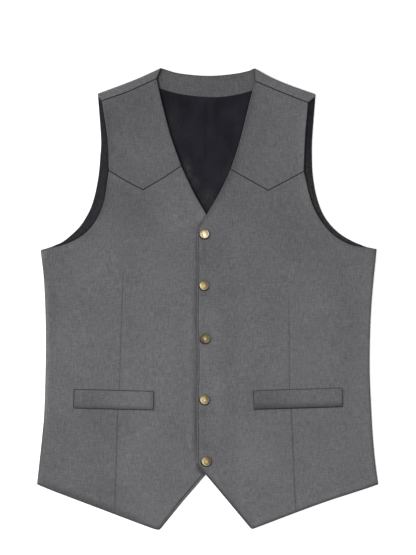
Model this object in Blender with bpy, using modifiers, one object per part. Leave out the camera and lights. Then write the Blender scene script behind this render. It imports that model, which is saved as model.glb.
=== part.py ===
"""Suit vest laid flat, face up: a lined back, two fronts with pointed yokes, welt pockets and snaps.

Metres, +Z up. X runs across the vest, Y from the front points up to the shoulders, and the back lies
on z = 0. Left and right are the wearer's, so the left front is at +X, and it laps over the right one.
Heights are measured up the cloth from the front points.
"""

import math
from collections import namedtuple

import bmesh
import bpy
from mathutils import Vector

LENGTH = 0.6925  # front points to the neck points of the shoulders
SEAM_GAP = 0.0003  # between two pieces at a seam, and between layers
BACK_WALL = 0.0012
LINING_WALL = 0.0010
FACING_WALL = 0.0014
FRONT_WALL = 0.0016
SIDE_EDGE_WALL = 0.0009  # the front, pressed thin where the side seam holds it
WELT_WALL = 0.0014
LINING_LEVEL = BACK_WALL + SEAM_GAP
FRONT_LEVEL = LINING_LEVEL + LINING_WALL + SEAM_GAP  # underside of a front that lies on the lining

CENTRE_FRONT = -0.0030  # x of the line where the fronts close
OVERLAP = 0.0134  # each front's edge lies this far past that line
LAP_GAP = 0.0006  # between the two fronts where they close
CLOSING_FOOT = 0.0984  # height where the front edge turns into the cutaway
BACK_HEM_CENTRE = 0.0900
HEM_OVERHANG = 0.0100  # a front stays level this far past the back's hem
DROOP = 0.0240  # length over which it then comes down to the table
LAP_RAMP = (0.0120, 0.0500)  # x where the left front starts and ends its step down off the right one
SIDE_ROLL = 0.0050  # width of the pressed side edge
SHOULDER_RADIUS = 0.0031  # outside of the fold at the top of the shoulder
SHOULDER_EASE = 0.0600  # length over which the yoke rises to the shoulder
LINING_INSET_SIDE = 0.0090
LINING_INSET_UNDERARM = 0.0180
LINING_INSET_ARMHOLE = 0.0008
LINING_HEM_TURN = 0.0280
DART_DEPTH = 0.0006
DART_FADE = 0.0400  # length over which a dart runs out at its top
SNAP_RADIUS = 0.0075
SNAP_HEIGHT = 0.0034
SNAP_RIM = 0.0009
SNAP_STEPS = 24
DOME_STEPS = 6

SIDES = ("right", "left")

# Outline of the cut: each station's height and half width on the wearer's right and left
Station = namedtuple("Station", "name right_height right_width left_height left_width")
SIDE_SEAM = (
    Station("hem corner", 0.0670, 0.2564, 0.0682, 0.2564),
    Station("hip", 0.1380, 0.2490, 0.1500, 0.2470),
    Station("high hip", 0.1850, 0.2451, 0.2000, 0.2442),
    Station("waist", 0.2840, 0.2431, 0.2500, 0.2430),
    Station("ribs", 0.3680, 0.2455, 0.3500, 0.2467),
    Station("underarm", 0.4185, 0.2507, 0.4205, 0.2536),
)
FRONT_ARMHOLE_LOW = (
    SIDE_SEAM[-1],
    Station("scye base", 0.4300, 0.2090, 0.4290, 0.2110),
    Station("scye curve", 0.4500, 0.1780, 0.4500, 0.1808),
    Station("chest", 0.4860, 0.1572, 0.4860, 0.1580),
    Station("yoke seam", 0.5385, 0.1482, 0.5372, 0.1443),
)
FRONT_ARMHOLE_HIGH = (
    FRONT_ARMHOLE_LOW[-1],
    Station("above the yoke seam", 0.5900, 0.1509, 0.5900, 0.1465),
    Station("shoulder seam", 0.6431, 0.1590, 0.6405, 0.1508),
)
BACK_ARMHOLE = (
    SIDE_SEAM[-1],
    Station("scye base", 0.4248, 0.2325, 0.4248, 0.2350),
    Station("scye curve", 0.4430, 0.2044, 0.4430, 0.2000),
    Station("scye rise", 0.4610, 0.1878, 0.4610, 0.1815),
    Station("chest", 0.4850, 0.1751, 0.4850, 0.1680),
    Station("blade", 0.5330, 0.1638, 0.5330, 0.1575),
    Station("upper back", 0.5900, 0.1604, 0.5900, 0.1571),
    Station("shoulder", 0.6539, 0.1649, 0.6531, 0.1617),
)
NECK_LOW = (
    Station("break", 0.4530, -0.0104, 0.4510, -0.0164),
    Station("crossing", 0.4730, 0.0020, 0.4730, -0.0013),
    Station("lower neck", 0.5003, 0.0179, 0.5003, 0.0150),
    Station("middle neck", 0.5243, 0.0297, 0.5243, 0.0273),
    Station("yoke seam", 0.5452, 0.0395, 0.5403, 0.0344),
)
NECK_HIGH = (
    NECK_LOW[-1],
    Station("above the yoke seam", 0.5683, 0.0478, 0.5683, 0.0440),
    Station("upper neck", 0.5963, 0.0571, 0.5963, 0.0519),
    Station("high neck", 0.6443, 0.0695, 0.6443, 0.0635),
    Station("shoulder seam", 0.6766, 0.0763, 0.6729, 0.0707),
)
FRONT_POINT = Station("front point", 0.0000, 0.0722, 0.0005, 0.0656)
HEM_NEAR_POINT = Station("hem near the point", 0.0028, 0.0870, 0.0042, 0.0770)
HEM_MIDDLE = Station("middle of the hem", 0.0316, 0.1646, 0.0356, 0.1609)
YOKE_POINT = Station("yoke point", 0.5095, 0.0970, 0.5085, 0.0909)
YOKE_ARM_SEAM = Station("yoke seam towards the arm", 0.5230, 0.1226, 0.5227, 0.1176)
YOKE_NECK_SEAM = Station("yoke seam towards the neck", 0.5262, 0.0683, 0.5244, 0.0626)
NECK_POINT = Station("neck point", 0.6925, 0.0704, 0.6918, 0.0698)
SHOULDER_CREST = Station("middle of the shoulder fold", 0.6708, 0.1196, 0.6662, 0.1247)
SHOULDER_RISE = Station("shoulder fold towards the neck", 0.6808, 0.0956, 0.6780, 0.0964)
SHOULDER_SAG = Station("middle of the shoulder seam", 0.6576, 0.1180, 0.6558, 0.1115)
BACK_NECK = (  # x, height along the edge between the neck points
    (-0.0630, 0.6902), (-0.0476, 0.6856), (-0.0244, 0.6823), (0.0019, 0.6808),
    (0.0259, 0.6822), (0.0484, 0.6855), (0.0625, 0.6893),
)
FACING_FOOT = ((-0.0860, 0.6660), (-0.0420, 0.6535), (0.0050, 0.6486), (0.0420, 0.6520), (0.0860, 0.6640))
FACING_END = Station("end of the neck facing", 0.6820, 0.0840, 0.6815, 0.0840)
FACING_TRIM = 0.0004  # the facing stops this far short of the back's neck edge
LINING_SHOULDER = Station("lining under the shoulder", 0.6440, 0.1610, 0.6440, 0.1565)

# Dart from the hem to the chest: x is the half width at its foot and at its top
Dart = namedtuple("Dart", "side foot_height foot_width top_height top_width")
DARTS = (
    Dart("right", 0.0243, 0.1399, 0.3915, 0.1261),
    Dart("left", 0.0273, 0.1330, 0.3850, 0.1205),
)

# Soft rises of a front off the layers below it: centre, reach each way and height
Rise = namedtuple("Rise", "name side x height reach_x reach_height rise")
RISES = (
    Rise("right chest", "right", -0.105, 0.440, 0.095, 0.130, 0.0026),
    Rise("right waist", "right", -0.188, 0.270, 0.048, 0.150, 0.0014),
    Rise("right belly", "right", -0.075, 0.240, 0.062, 0.170, 0.0015),
    Rise("right hem", "right", -0.180, 0.062, 0.070, 0.045, 0.0013),
    Rise("right neck edge", "right", -0.040, 0.520, 0.050, 0.090, 0.0009),
    Rise("left chest", "left", 0.105, 0.430, 0.095, 0.140, 0.0024),
    Rise("left waist", "left", 0.190, 0.300, 0.048, 0.140, 0.0015),
    Rise("left belly", "left", 0.082, 0.220, 0.060, 0.160, 0.0016),
    Rise("left hem", "left", 0.190, 0.080, 0.060, 0.048, 0.0010),
    Rise("left neck edge", "left", 0.040, 0.530, 0.046, 0.090, 0.0008),
)

# Welt pockets and snaps, placed at their centres
Welt = namedtuple("Welt", "side x height width depth tilt_deg")
WELTS = (
    Welt("right", -0.1412, 0.1948, 0.1205, 0.0276, -1.4),
    Welt("left", 0.1365, 0.1964, 0.1335, 0.0274, 1.7),
)
Snap = namedtuple("Snap", "name x height")
SNAPS = (
    Snap("snap_1", -0.0050, 0.4433),
    Snap("snap_2", -0.0053, 0.3663),
    Snap("snap_3", -0.0037, 0.2867),
    Snap("snap_4", -0.0045, 0.1951),
    Snap("snap_5", -0.0022, 0.1028),
)

# Where the grid lines of a panel run, as shares of its width and height
CORNER_SHARE = 0.74  # up a front: the underarm on its side, the break on its closing edge
POINT_SHARE = 0.66  # across a front: the front point below, the yoke point above
DART_SHARE = 0.42
DART_SPREAD = 0.010
FRONT_COLUMNS = (0, 0.010, 0.022, 0.12, 0.22, 0.32, DART_SHARE - DART_SPREAD, DART_SHARE,
                 DART_SHARE + DART_SPREAD, 0.50, 0.58, POINT_SHARE, 0.74, 0.82, 0.91, 1)
UNDERARM_CROWDING = 1.4
FRONT_ROWS_LOW = 13
FRONT_ROWS_HIGH = 7
YOKE_POINT_SHARE = 0.5
YOKE_COLUMNS = 8
YOKE_ROWS = 7
SHOULDER_COLUMNS = 5
NECK_COLUMNS = 10
SHOULDER_SHARE = 0.29  # across the back: where the shoulder ends and the neck begins
BACK_ROWS_LOW = 7
BACK_ROWS_HIGH = 9
FOLD_ROWS = 6
TAB_ROWS = 2
LINING_SIDE_COLUMNS = 3
FACING_COLUMNS = 14
FACING_SHARE = 0.25  # across the lining: where the neck facing begins
FACING_ROWS = 2
WELT_COLUMNS = 10
WELT_ROWS = 3
HALVINGS = 24  # steps of a search for a place along a curve
SHARP_ANGLE_DEG = 35
MERGE_DISTANCE = 0.00001

# Colours are linear red, green and blue
Finish = namedtuple("Finish", "name colour roughness metallic")
GREY_CLOTH = Finish("grey suiting", (0.140, 0.140, 0.148), 0.85, 0.0)
BLACK_LINING = Finish("black lining", (0.020, 0.019, 0.025), 0.55, 0.0)
AGED_BRASS = Finish("aged brass", (0.400, 0.290, 0.130), 0.38, 1.0)


def smooth(t):
    """0 below t = 0, 1 above t = 1, and a soft S between."""
    t = min(max(t, 0.0), 1.0)
    return t * t * (3.0 - 2.0 * t)


def mix(a, b, t):
    return a + (b - a) * t


def sign_of(side):
    return -1 if side == "right" else 1


def place(station, side):
    """A station of the cut as a point (x, height)."""
    if side == "right":
        return Vector((-station.right_width, station.right_height))
    return Vector((station.left_width, station.left_height))


def curve_through(points, steps=12):
    """A smooth curve through the points, as a function of the share of its length from 0 to 1."""
    points = [Vector(p) for p in points]
    ends = [points[0] * 2 - points[1], *points, points[-1] * 2 - points[-2]]
    line = [points[0]]
    for a, b, c, d in zip(ends, ends[1:], ends[2:], ends[3:]):
        for i in range(1, steps + 1):
            t = i / steps
            bend = (c - a) * t + (a * 2 - b * 5 + c * 4 - d) * t**2 + (b * 3 - a - c * 3 + d) * t**3
            line.append(b + bend / 2)
    lengths = [0.0]
    for p, q in zip(line, line[1:]):
        lengths.append(lengths[-1] + (q - p).length)

    def at(share):
        wanted = min(max(share, 0.0), 1.0) * lengths[-1]
        i = next((n for n in range(1, len(line) - 1) if lengths[n] >= wanted), len(line) - 1)
        return line[i - 1].lerp(line[i], (wanted - lengths[i - 1]) / (lengths[i] - lengths[i - 1]))

    return at


def edge_of(stations, side):
    return curve_through([place(s, side) for s in stations])


def chain(*runs):
    """Curves end to end, each given with the share of the whole where it ends."""

    def at(share):
        began = 0.0
        for ends_at, run in runs:
            if share <= ends_at or ends_at == 1:
                return run((share - began) / (ends_at - began))
            began = ends_at

    return at


def patch(foot, top, start, end):
    """The cloth between four edges, as a function of the shares across and up."""
    corners = (foot(0), foot(1), top(0), top(1))

    def at(u, v):
        along = mix(foot(u), top(u), v) + mix(start(v), end(v), u)
        return along - mix(mix(corners[0], corners[1], u), mix(corners[2], corners[3], u), v)

    return at


def width_at(side, height):
    """Half width of the side seam at a height, held at its ends."""
    seam = SEAM_CURVES[side]
    low, high = 0.0, 1.0
    for _ in range(HALVINGS):
        middle = (low + high) / 2
        if seam(middle).y < height:
            low = middle
        else:
            high = middle
    return abs(seam(low).x)


SHOULDER_SEAM = (FRONT_ARMHOLE_HIGH[-1], SHOULDER_SAG, NECK_HIGH[-1])
SHOULDER_FOLD = (BACK_ARMHOLE[-1], SHOULDER_CREST, SHOULDER_RISE, NECK_POINT)
YOKE_ARM_EDGE = (FRONT_ARMHOLE_LOW[-1], YOKE_ARM_SEAM, YOKE_POINT)
YOKE_NECK_EDGE = (YOKE_POINT, YOKE_NECK_SEAM, NECK_LOW[-1])
SEAM_CURVES = {side: edge_of(SIDE_SEAM, side) for side in SIDES}
SHOULDER_SEAMS = {side: edge_of(SHOULDER_SEAM, side) for side in SIDES}
SHOULDER_FOLDS = {side: edge_of(SHOULDER_FOLD, side) for side in SIDES}


def back_hem_height(x):
    """The back's hem: level with the side corners, and higher at the centre."""
    corner = place(SIDE_SEAM[0], "right" if x < 0 else "left")
    return mix(BACK_HEM_CENTRE, corner.y, min(abs(x / corner.x), 1.0) ** 2)


def shoulder_height(side, x):
    """Height of the shoulder seam above a place on the front."""
    arm, neck = SHOULDER_SEAMS[side](0), SHOULDER_SEAMS[side](1)
    return mix(arm.y, neck.y, min(max((x - arm.x) / (neck.x - arm.x), 0.0), 1.0))


def seam_distance(side, x, height):
    """How far a place on a front is from its side seam."""
    underarm = place(SIDE_SEAM[-1], side).y
    inward = width_at(side, min(height, underarm)) - abs(x)
    return math.hypot(max(inward, 0.0), max(height - underarm, 0.0))


def single_front_under(side, x, height):
    """Underside of a front that nothing but the back and the lining carries."""
    past_hem = height - back_hem_height(x) + HEM_OVERHANG
    z = FRONT_LEVEL * smooth(1 + past_hem / DROOP)
    over_table = smooth(2 + past_hem / DROOP)
    for r in RISES:
        far = ((x - r.x) / r.reach_x) ** 2 + ((height - r.height) / r.reach_height) ** 2
        if r.side == side and far < 1:
            z += over_table * r.rise * (1 - far) ** 2
    lift = 2 * SHOULDER_RADIUS - FRONT_WALL - FRONT_LEVEL
    z += lift * smooth((height - shoulder_height(side, x) + SHOULDER_EASE) / SHOULDER_EASE)
    return mix(LINING_LEVEL, z, smooth(seam_distance(side, x, height) / SIDE_ROLL))


def front_wall(side, x, height):
    """Thickness of a front: thin at the pressed side seam."""
    return mix(SIDE_EDGE_WALL, FRONT_WALL, smooth(seam_distance(side, x, height) / SIDE_ROLL))


def front_under(side, x, height):
    """Underside of a front. The left one steps up over the right one where they close."""
    z = single_front_under(side, x, height)
    if side == "right":
        return z
    lapped = single_front_under("right", min(x, CENTRE_FRONT + OVERLAP), height) + FRONT_WALL + LAP_GAP
    return mix(lapped, z, smooth((x - LAP_RAMP[0]) / (LAP_RAMP[1] - LAP_RAMP[0])))


def front_over(side, x, height):
    """Outer surface of a front."""
    return front_under(side, x, height) + front_wall(side, x, height)


def on_table(point, z):
    """A place (x, height) of the cloth at a level above the table."""
    return Vector((point.x, point.y - LENGTH / 2, z))


def material_of(finish):
    found = bpy.data.materials.get(finish.name)
    if found:
        return found
    made = bpy.data.materials.new(finish.name)
    made.use_nodes = True
    shader = made.node_tree.nodes["Principled BSDF"]
    shader.inputs["Base Color"].default_value = (*finish.colour, 1.0)
    shader.inputs["Roughness"].default_value = finish.roughness
    shader.inputs["Metallic"].default_value = finish.metallic
    return made


def add_object(name, mesh, finish):
    """Links a mesh as a named piece of the vest."""
    mesh.materials.append(material_of(finish))
    mesh.shade_smooth()
    mesh.set_sharp_from_angle(angle=math.radians(SHARP_ANGLE_DEG))
    piece = bpy.data.objects.new(name, mesh)
    bpy.data.collections["suit_vest"].objects.link(piece)
    return piece


def cloth_wall(name, columns, rows, outer, inner, finish, keep=None):
    """A closed wall: a grid extruded once, its two skins set by outer(column, row) and inner(column, row)."""
    shape = bmesh.new()
    bmesh.ops.create_grid(shape, x_segments=columns, y_segments=rows, size=0.5)

    def cell(co):
        return round((co.x + 0.5) * columns), round((co.y + 0.5) * rows)

    if keep:
        centre = Vector((0.5 / columns, 0.5 / rows, 0))
        dropped = [f for f in shape.faces if not keep(*cell(f.calc_center_median() - centre))]
        bmesh.ops.delete(shape, geom=dropped, context="FACES")
    raised = bmesh.ops.extrude_face_region(shape, geom=shape.faces[:])["geom"]
    skin = {v for v in raised if isinstance(v, bmesh.types.BMVert)}
    for vert in shape.verts:
        vert.co = (outer if vert in skin else inner)(*cell(vert.co))
    bmesh.ops.recalc_face_normals(shape, faces=shape.faces[:])
    mesh = bpy.data.meshes.new(name)
    shape.to_mesh(mesh)
    shape.free()
    return add_object(name, mesh, finish)


def dart_depth(dart, point):
    """How deep the dart's seam is drawn in at a place, fading out at its top."""
    return DART_DEPTH * smooth((dart.top_height - point.y) / DART_FADE)


def dart_x(dart, height):
    share = (height - dart.foot_height) / (dart.top_height - dart.foot_height)
    return sign_of(dart.side) * mix(dart.foot_width, dart.top_width, share)


def front_cut(dart):
    """The front below its yoke, as a function of the shares across and up, with a grid line on the dart."""
    side = dart.side
    sign = sign_of(side)
    edge_x = CENTRE_FRONT - sign * OVERLAP
    closing_foot = Vector((edge_x, CLOSING_FOOT))
    tip = place(FRONT_POINT, side)
    start = chain((CORNER_SHARE, SEAM_CURVES[side]), (1, edge_of(FRONT_ARMHOLE_LOW, side)))
    neck = edge_of(NECK_LOW, side)
    end = chain((CORNER_SHARE, curve_through([closing_foot, neck(0)])), (1, neck))
    hem = curve_through([start(0), place(HEM_MIDDLE, side), place(HEM_NEAR_POINT, side), tip])
    foot = chain((POINT_SHARE, hem), (1, curve_through([tip, closing_foot])))
    top = chain((POINT_SHARE, edge_of(YOKE_ARM_EDGE, side)), (1, edge_of(YOKE_NECK_EDGE, side)))
    at = patch(foot, top, start, end)

    def dart_share(v):
        low, high = 0.0, 1.0
        for _ in range(HALVINGS):
            middle = (low + high) / 2
            point = at(middle, v)
            if (point.x - dart_x(dart, point.y)) * sign > 0:
                low = middle
            else:
                high = middle
        yoke_tip = place(YOKE_POINT, side).y
        above = smooth((at(low, v).y - dart.top_height) / (yoke_tip - dart.top_height))
        return mix(low, DART_SHARE, above)

    def warped(u, v):
        line = dart_share(v) if 0 < v < 1 else DART_SHARE
        if u <= DART_SHARE:
            return at(u * line / DART_SHARE, v)
        return at(1 - (1 - u) * (1 - line) / (1 - DART_SHARE), v)

    return warped


def row_shares(low_rows, high_rows):
    """Shares up a panel with a row on the underarm corner, closer together just above it."""
    low = [CORNER_SHARE * i / low_rows for i in range(low_rows)]
    return low + [mix(CORNER_SHARE, 1, (i / high_rows) ** UNDERARM_CROWDING) for i in range(high_rows + 1)]


def make_front(dart):
    side = dart.side
    shares = row_shares(FRONT_ROWS_LOW, FRONT_ROWS_HIGH)
    cut = front_cut(dart)
    grid = [[cut(u, v) for v in shares] for u in FRONT_COLUMNS]
    dart_column = FRONT_COLUMNS.index(DART_SHARE)

    def inner(column, row):
        point = grid[column][row]
        return on_table(point, front_under(side, *point))

    def outer(column, row):
        point = grid[column][row]
        drawn = dart_depth(dart, point) if column == dart_column else 0.0
        return on_table(point, front_over(side, *point) - drawn)

    cloth_wall(f"front_{side}", len(FRONT_COLUMNS) - 1, len(shares) - 1, outer, inner, GREY_CLOTH)


def make_yoke(side):
    """The pointed shoulder yoke, a seam's gap above the front and below the shoulder seam."""
    lift = Vector((0, SEAM_GAP))
    start, end = edge_of(FRONT_ARMHOLE_HIGH, side), edge_of(NECK_HIGH, side)
    foot = chain((YOKE_POINT_SHARE, edge_of(YOKE_ARM_EDGE, side)), (1, edge_of(YOKE_NECK_EDGE, side)))
    at = patch(foot, SHOULDER_SEAMS[side], start, end)

    def point_at(column, row):
        return at(column / YOKE_COLUMNS, row / YOKE_ROWS) + lift * (1 - 2 * row / YOKE_ROWS)

    def inner(column, row):
        point = point_at(column, row)
        return on_table(point, front_under(side, *point))

    def outer(column, row):
        point = point_at(column, row)
        return on_table(point, front_over(side, *point))

    cloth_wall(f"yoke_{side}", YOKE_COLUMNS, YOKE_ROWS, outer, inner, GREY_CLOTH)


def three_runs(side_columns, middle_columns, side_share):
    """Shares across a piece: a side run, a middle run and a side run, each evenly divided."""
    side = [side_share * i / side_columns for i in range(side_columns)]
    middle = [mix(side_share, 1 - side_share, i / middle_columns) for i in range(middle_columns + 1)]
    return side + middle + [1 - share for share in reversed(side)]


def shoulder_column(column):
    """The side whose shoulder a back column runs into, and its share from the arm to the neck."""
    if column <= SHOULDER_COLUMNS:
        return "right", column / SHOULDER_COLUMNS
    return "left", (2 * SHOULDER_COLUMNS + NECK_COLUMNS - column) / SHOULDER_COLUMNS


def fold_line(side, share):
    """A place on the top of the shoulder fold, and the one at the shoulder seam in front of it."""
    return SHOULDER_FOLDS[side](share), SHOULDER_SEAMS[side](share) + Vector((0, SEAM_GAP))


def back_edges():
    """Foot, top, start and end of the part of the back that lies on the table."""
    right = chain((CORNER_SHARE, SEAM_CURVES["right"]), (1, edge_of(BACK_ARMHOLE, "right")))
    left = chain((CORNER_SHARE, SEAM_CURVES["left"]), (1, edge_of(BACK_ARMHOLE, "left")))

    def fold_start(side, share):
        return SHOULDER_FOLDS[side](share) - Vector((0, SHOULDER_RADIUS))

    neck = curve_through([fold_start("right", 1), *BACK_NECK, fold_start("left", 1)])
    top = chain(
        (SHOULDER_SHARE, lambda t: fold_start("right", t)),
        (1 - SHOULDER_SHARE, neck),
        (1, lambda t: fold_start("left", 1 - t)),
    )

    def foot(u):
        x = mix(right(0).x, left(0).x, u)
        return Vector((x, back_hem_height(x)))

    def trimmed(edge, corner):
        return lambda v: edge(v) + (corner - edge(1)) * smooth((v - CORNER_SHARE) / (1 - CORNER_SHARE))

    return foot, top, trimmed(right, top(0)), trimmed(left, top(1))


def make_back():
    """The back, with a tab on each shoulder that folds over the top to the shoulder seam in front."""
    across = three_runs(SHOULDER_COLUMNS, NECK_COLUMNS, SHOULDER_SHARE)
    shares = row_shares(BACK_ROWS_LOW, BACK_ROWS_HIGH)
    flat_rows = len(shares) - 1
    at = patch(*back_edges())

    def skin(column, row, depth):
        """A point of the wall, depth in from its outer face."""
        if row <= flat_rows:
            return on_table(at(across[column], shares[row]), depth)
        side, share = shoulder_column(column)
        crest, seam = fold_line(side, share)
        radius = SHOULDER_RADIUS - depth
        turned = math.pi * min((row - flat_rows) / FOLD_ROWS, 1.0)
        bend = crest - Vector((0, SHOULDER_RADIUS - radius * math.sin(turned)))
        beyond = max(row - flat_rows - FOLD_ROWS, 0) / TAB_ROWS
        return on_table(mix(bend, seam, beyond), SHOULDER_RADIUS - radius * math.cos(turned))

    def on_shoulder(column, row):
        in_neck = SHOULDER_COLUMNS <= column < SHOULDER_COLUMNS + NECK_COLUMNS
        return row < flat_rows or not in_neck

    cloth_wall(
        "back", len(across) - 1, flat_rows + FOLD_ROWS + TAB_ROWS,
        lambda column, row: skin(column, row, 0.0),
        lambda column, row: skin(column, row, BACK_WALL),
        GREY_CLOTH, on_shoulder,
    )


def flat_layer(name, columns, rows, at, thickness, finish):
    """A wall that lies flat on the back."""
    cloth_wall(
        name, columns, rows,
        lambda column, row: on_table(at(column, row), LINING_LEVEL + thickness),
        lambda column, row: on_table(at(column, row), LINING_LEVEL),
        finish,
    )


def make_lining():
    """The back's lining, which shows in the neck and armholes, sewn to the foot of the neck facing."""

    def inset_edge(side):
        sign = sign_of(side)
        turn = Vector((sign * LINING_INSET_SIDE, 0))
        trim = Vector((sign * LINING_INSET_ARMHOLE, 0))
        seam = [place(s, side) - turn for s in SIDE_SEAM]
        seam[0].y += LINING_HEM_TURN
        seam[-1].x = place(SIDE_SEAM[-1], side).x - sign * LINING_INSET_UNDERARM
        scye = [place(s, side) - trim for s in BACK_ARMHOLE[1:-1]]
        armhole = curve_through([seam[-1], *scye, place(LINING_SHOULDER, side)])
        return chain((CORNER_SHARE, curve_through(seam)), (1, armhole))

    start, end = inset_edge("right"), inset_edge("left")
    facing_foot = curve_through(FACING_FOOT)
    top = chain(
        (FACING_SHARE, curve_through([start(1), facing_foot(0)])),
        (1 - FACING_SHARE, facing_foot),
        (1, curve_through([facing_foot(1), end(1)])),
    )

    def foot(u):
        x = mix(start(0).x, end(0).x, u)
        return Vector((x, back_hem_height(x) + LINING_HEM_TURN))

    across = three_runs(LINING_SIDE_COLUMNS, FACING_COLUMNS, FACING_SHARE)
    shares = row_shares(BACK_ROWS_LOW, BACK_ROWS_HIGH)
    at = patch(foot, lambda u: top(u) - Vector((0, SEAM_GAP)), start, end)
    flat_layer("back_lining", len(across) - 1, len(shares) - 1,
               lambda column, row: at(across[column], shares[row]), LINING_WALL, BLACK_LINING)


def make_neck_facing():
    """The grey band inside the back of the neck. Its ends run under the shoulder tabs."""
    trim = Vector((0, FACING_TRIM))
    edge = [Vector(p) - trim for p in BACK_NECK]
    top = curve_through([place(FACING_END, "right"), *edge, place(FACING_END, "left")])
    foot = curve_through(FACING_FOOT)

    def at(column, row):
        share = column / FACING_COLUMNS
        return mix(foot(share), top(share), row / FACING_ROWS)

    flat_layer("neck_facing", FACING_COLUMNS, FACING_ROWS, at, FACING_WALL, GREY_CLOTH)


def make_welt(welt):
    """A welt pocket's strip, made from the front's own surface moved out."""
    tilt = math.radians(welt.tilt_deg)
    along = Vector((math.cos(tilt), math.sin(tilt)))
    up = Vector((-along.y, along.x))
    centre = Vector((welt.x, welt.height))

    def surface(column, row, lift):
        point = centre + along * welt.width * (column / WELT_COLUMNS - 0.5)
        point += up * welt.depth * (row / WELT_ROWS - 0.5)
        return on_table(point, front_over(welt.side, *point) + SEAM_GAP + lift)

    cloth_wall(
        f"welt_{welt.side}", WELT_COLUMNS, WELT_ROWS,
        lambda column, row: surface(column, row, WELT_WALL),
        lambda column, row: surface(column, row, 0.0),
        GREY_CLOTH,
    )


def make_snap(snap):
    """A domed snap cap with a rolled rim, turned about its own axis and seated on the left front."""
    rim_rise = SNAP_RIM / 2
    angles = [math.pi / 2 * i / DOME_STEPS for i in range(DOME_STEPS + 1)]
    dome = [(SNAP_RADIUS * math.sin(a), mix(SNAP_RIM, SNAP_HEIGHT, math.cos(a))) for a in angles]
    profile = [*dome, (SNAP_RADIUS, rim_rise), (SNAP_RADIUS - rim_rise, 0.0), (0.0, 0.0)]
    shape = bmesh.new()
    verts = [shape.verts.new((x, 0, z)) for x, z in profile]
    for a, b in zip(verts, verts[1:]):
        shape.edges.new((a, b))
    mesh = bpy.data.meshes.new(snap.name)
    shape.to_mesh(mesh)
    shape.free()
    cap = add_object(snap.name, mesh, AGED_BRASS)
    turn = cap.modifiers.new("turned", "SCREW")
    turn.steps = SNAP_STEPS
    turn.render_steps = SNAP_STEPS
    turn.use_merge_vertices = True
    turn.merge_threshold = MERGE_DISTANCE
    turn.use_normal_calculate = True
    rim = [(SNAP_RADIUS, 0.0), (-SNAP_RADIUS, 0.0), (0.0, SNAP_RADIUS), (0.0, -SNAP_RADIUS)]
    seat = max(front_over("left", snap.x + dx, snap.height + dy) for dx, dy in rim)
    cap.location = on_table(Vector((snap.x, snap.height)), seat + SEAM_GAP)


def main():
    for old in list(bpy.data.objects):
        bpy.data.objects.remove(old)
    bpy.context.scene.collection.children.link(bpy.data.collections.new("suit_vest"))
    make_back()
    make_lining()
    make_neck_facing()
    for dart in DARTS:
        make_front(dart)
        make_yoke(dart.side)
    for welt in WELTS:
        make_welt(welt)
    for snap in SNAPS:
        make_snap(snap)


main()
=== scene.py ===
import math

import bmesh
import bpy
import numpy as np
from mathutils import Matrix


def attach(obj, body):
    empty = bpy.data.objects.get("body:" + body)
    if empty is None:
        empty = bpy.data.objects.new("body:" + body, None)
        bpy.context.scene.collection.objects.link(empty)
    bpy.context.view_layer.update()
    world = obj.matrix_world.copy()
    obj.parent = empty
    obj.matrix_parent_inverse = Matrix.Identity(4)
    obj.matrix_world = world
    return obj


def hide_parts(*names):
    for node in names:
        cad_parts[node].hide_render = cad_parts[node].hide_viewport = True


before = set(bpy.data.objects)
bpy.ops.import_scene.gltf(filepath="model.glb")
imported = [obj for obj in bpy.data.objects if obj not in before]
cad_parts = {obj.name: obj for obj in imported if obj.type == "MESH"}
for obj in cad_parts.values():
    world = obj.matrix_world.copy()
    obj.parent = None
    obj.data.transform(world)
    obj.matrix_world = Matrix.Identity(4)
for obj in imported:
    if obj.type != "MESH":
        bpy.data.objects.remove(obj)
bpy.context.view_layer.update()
bpy.ops.object.select_all(action="DESELECT")
print("frame loaded:", len(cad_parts), "solids")

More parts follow.
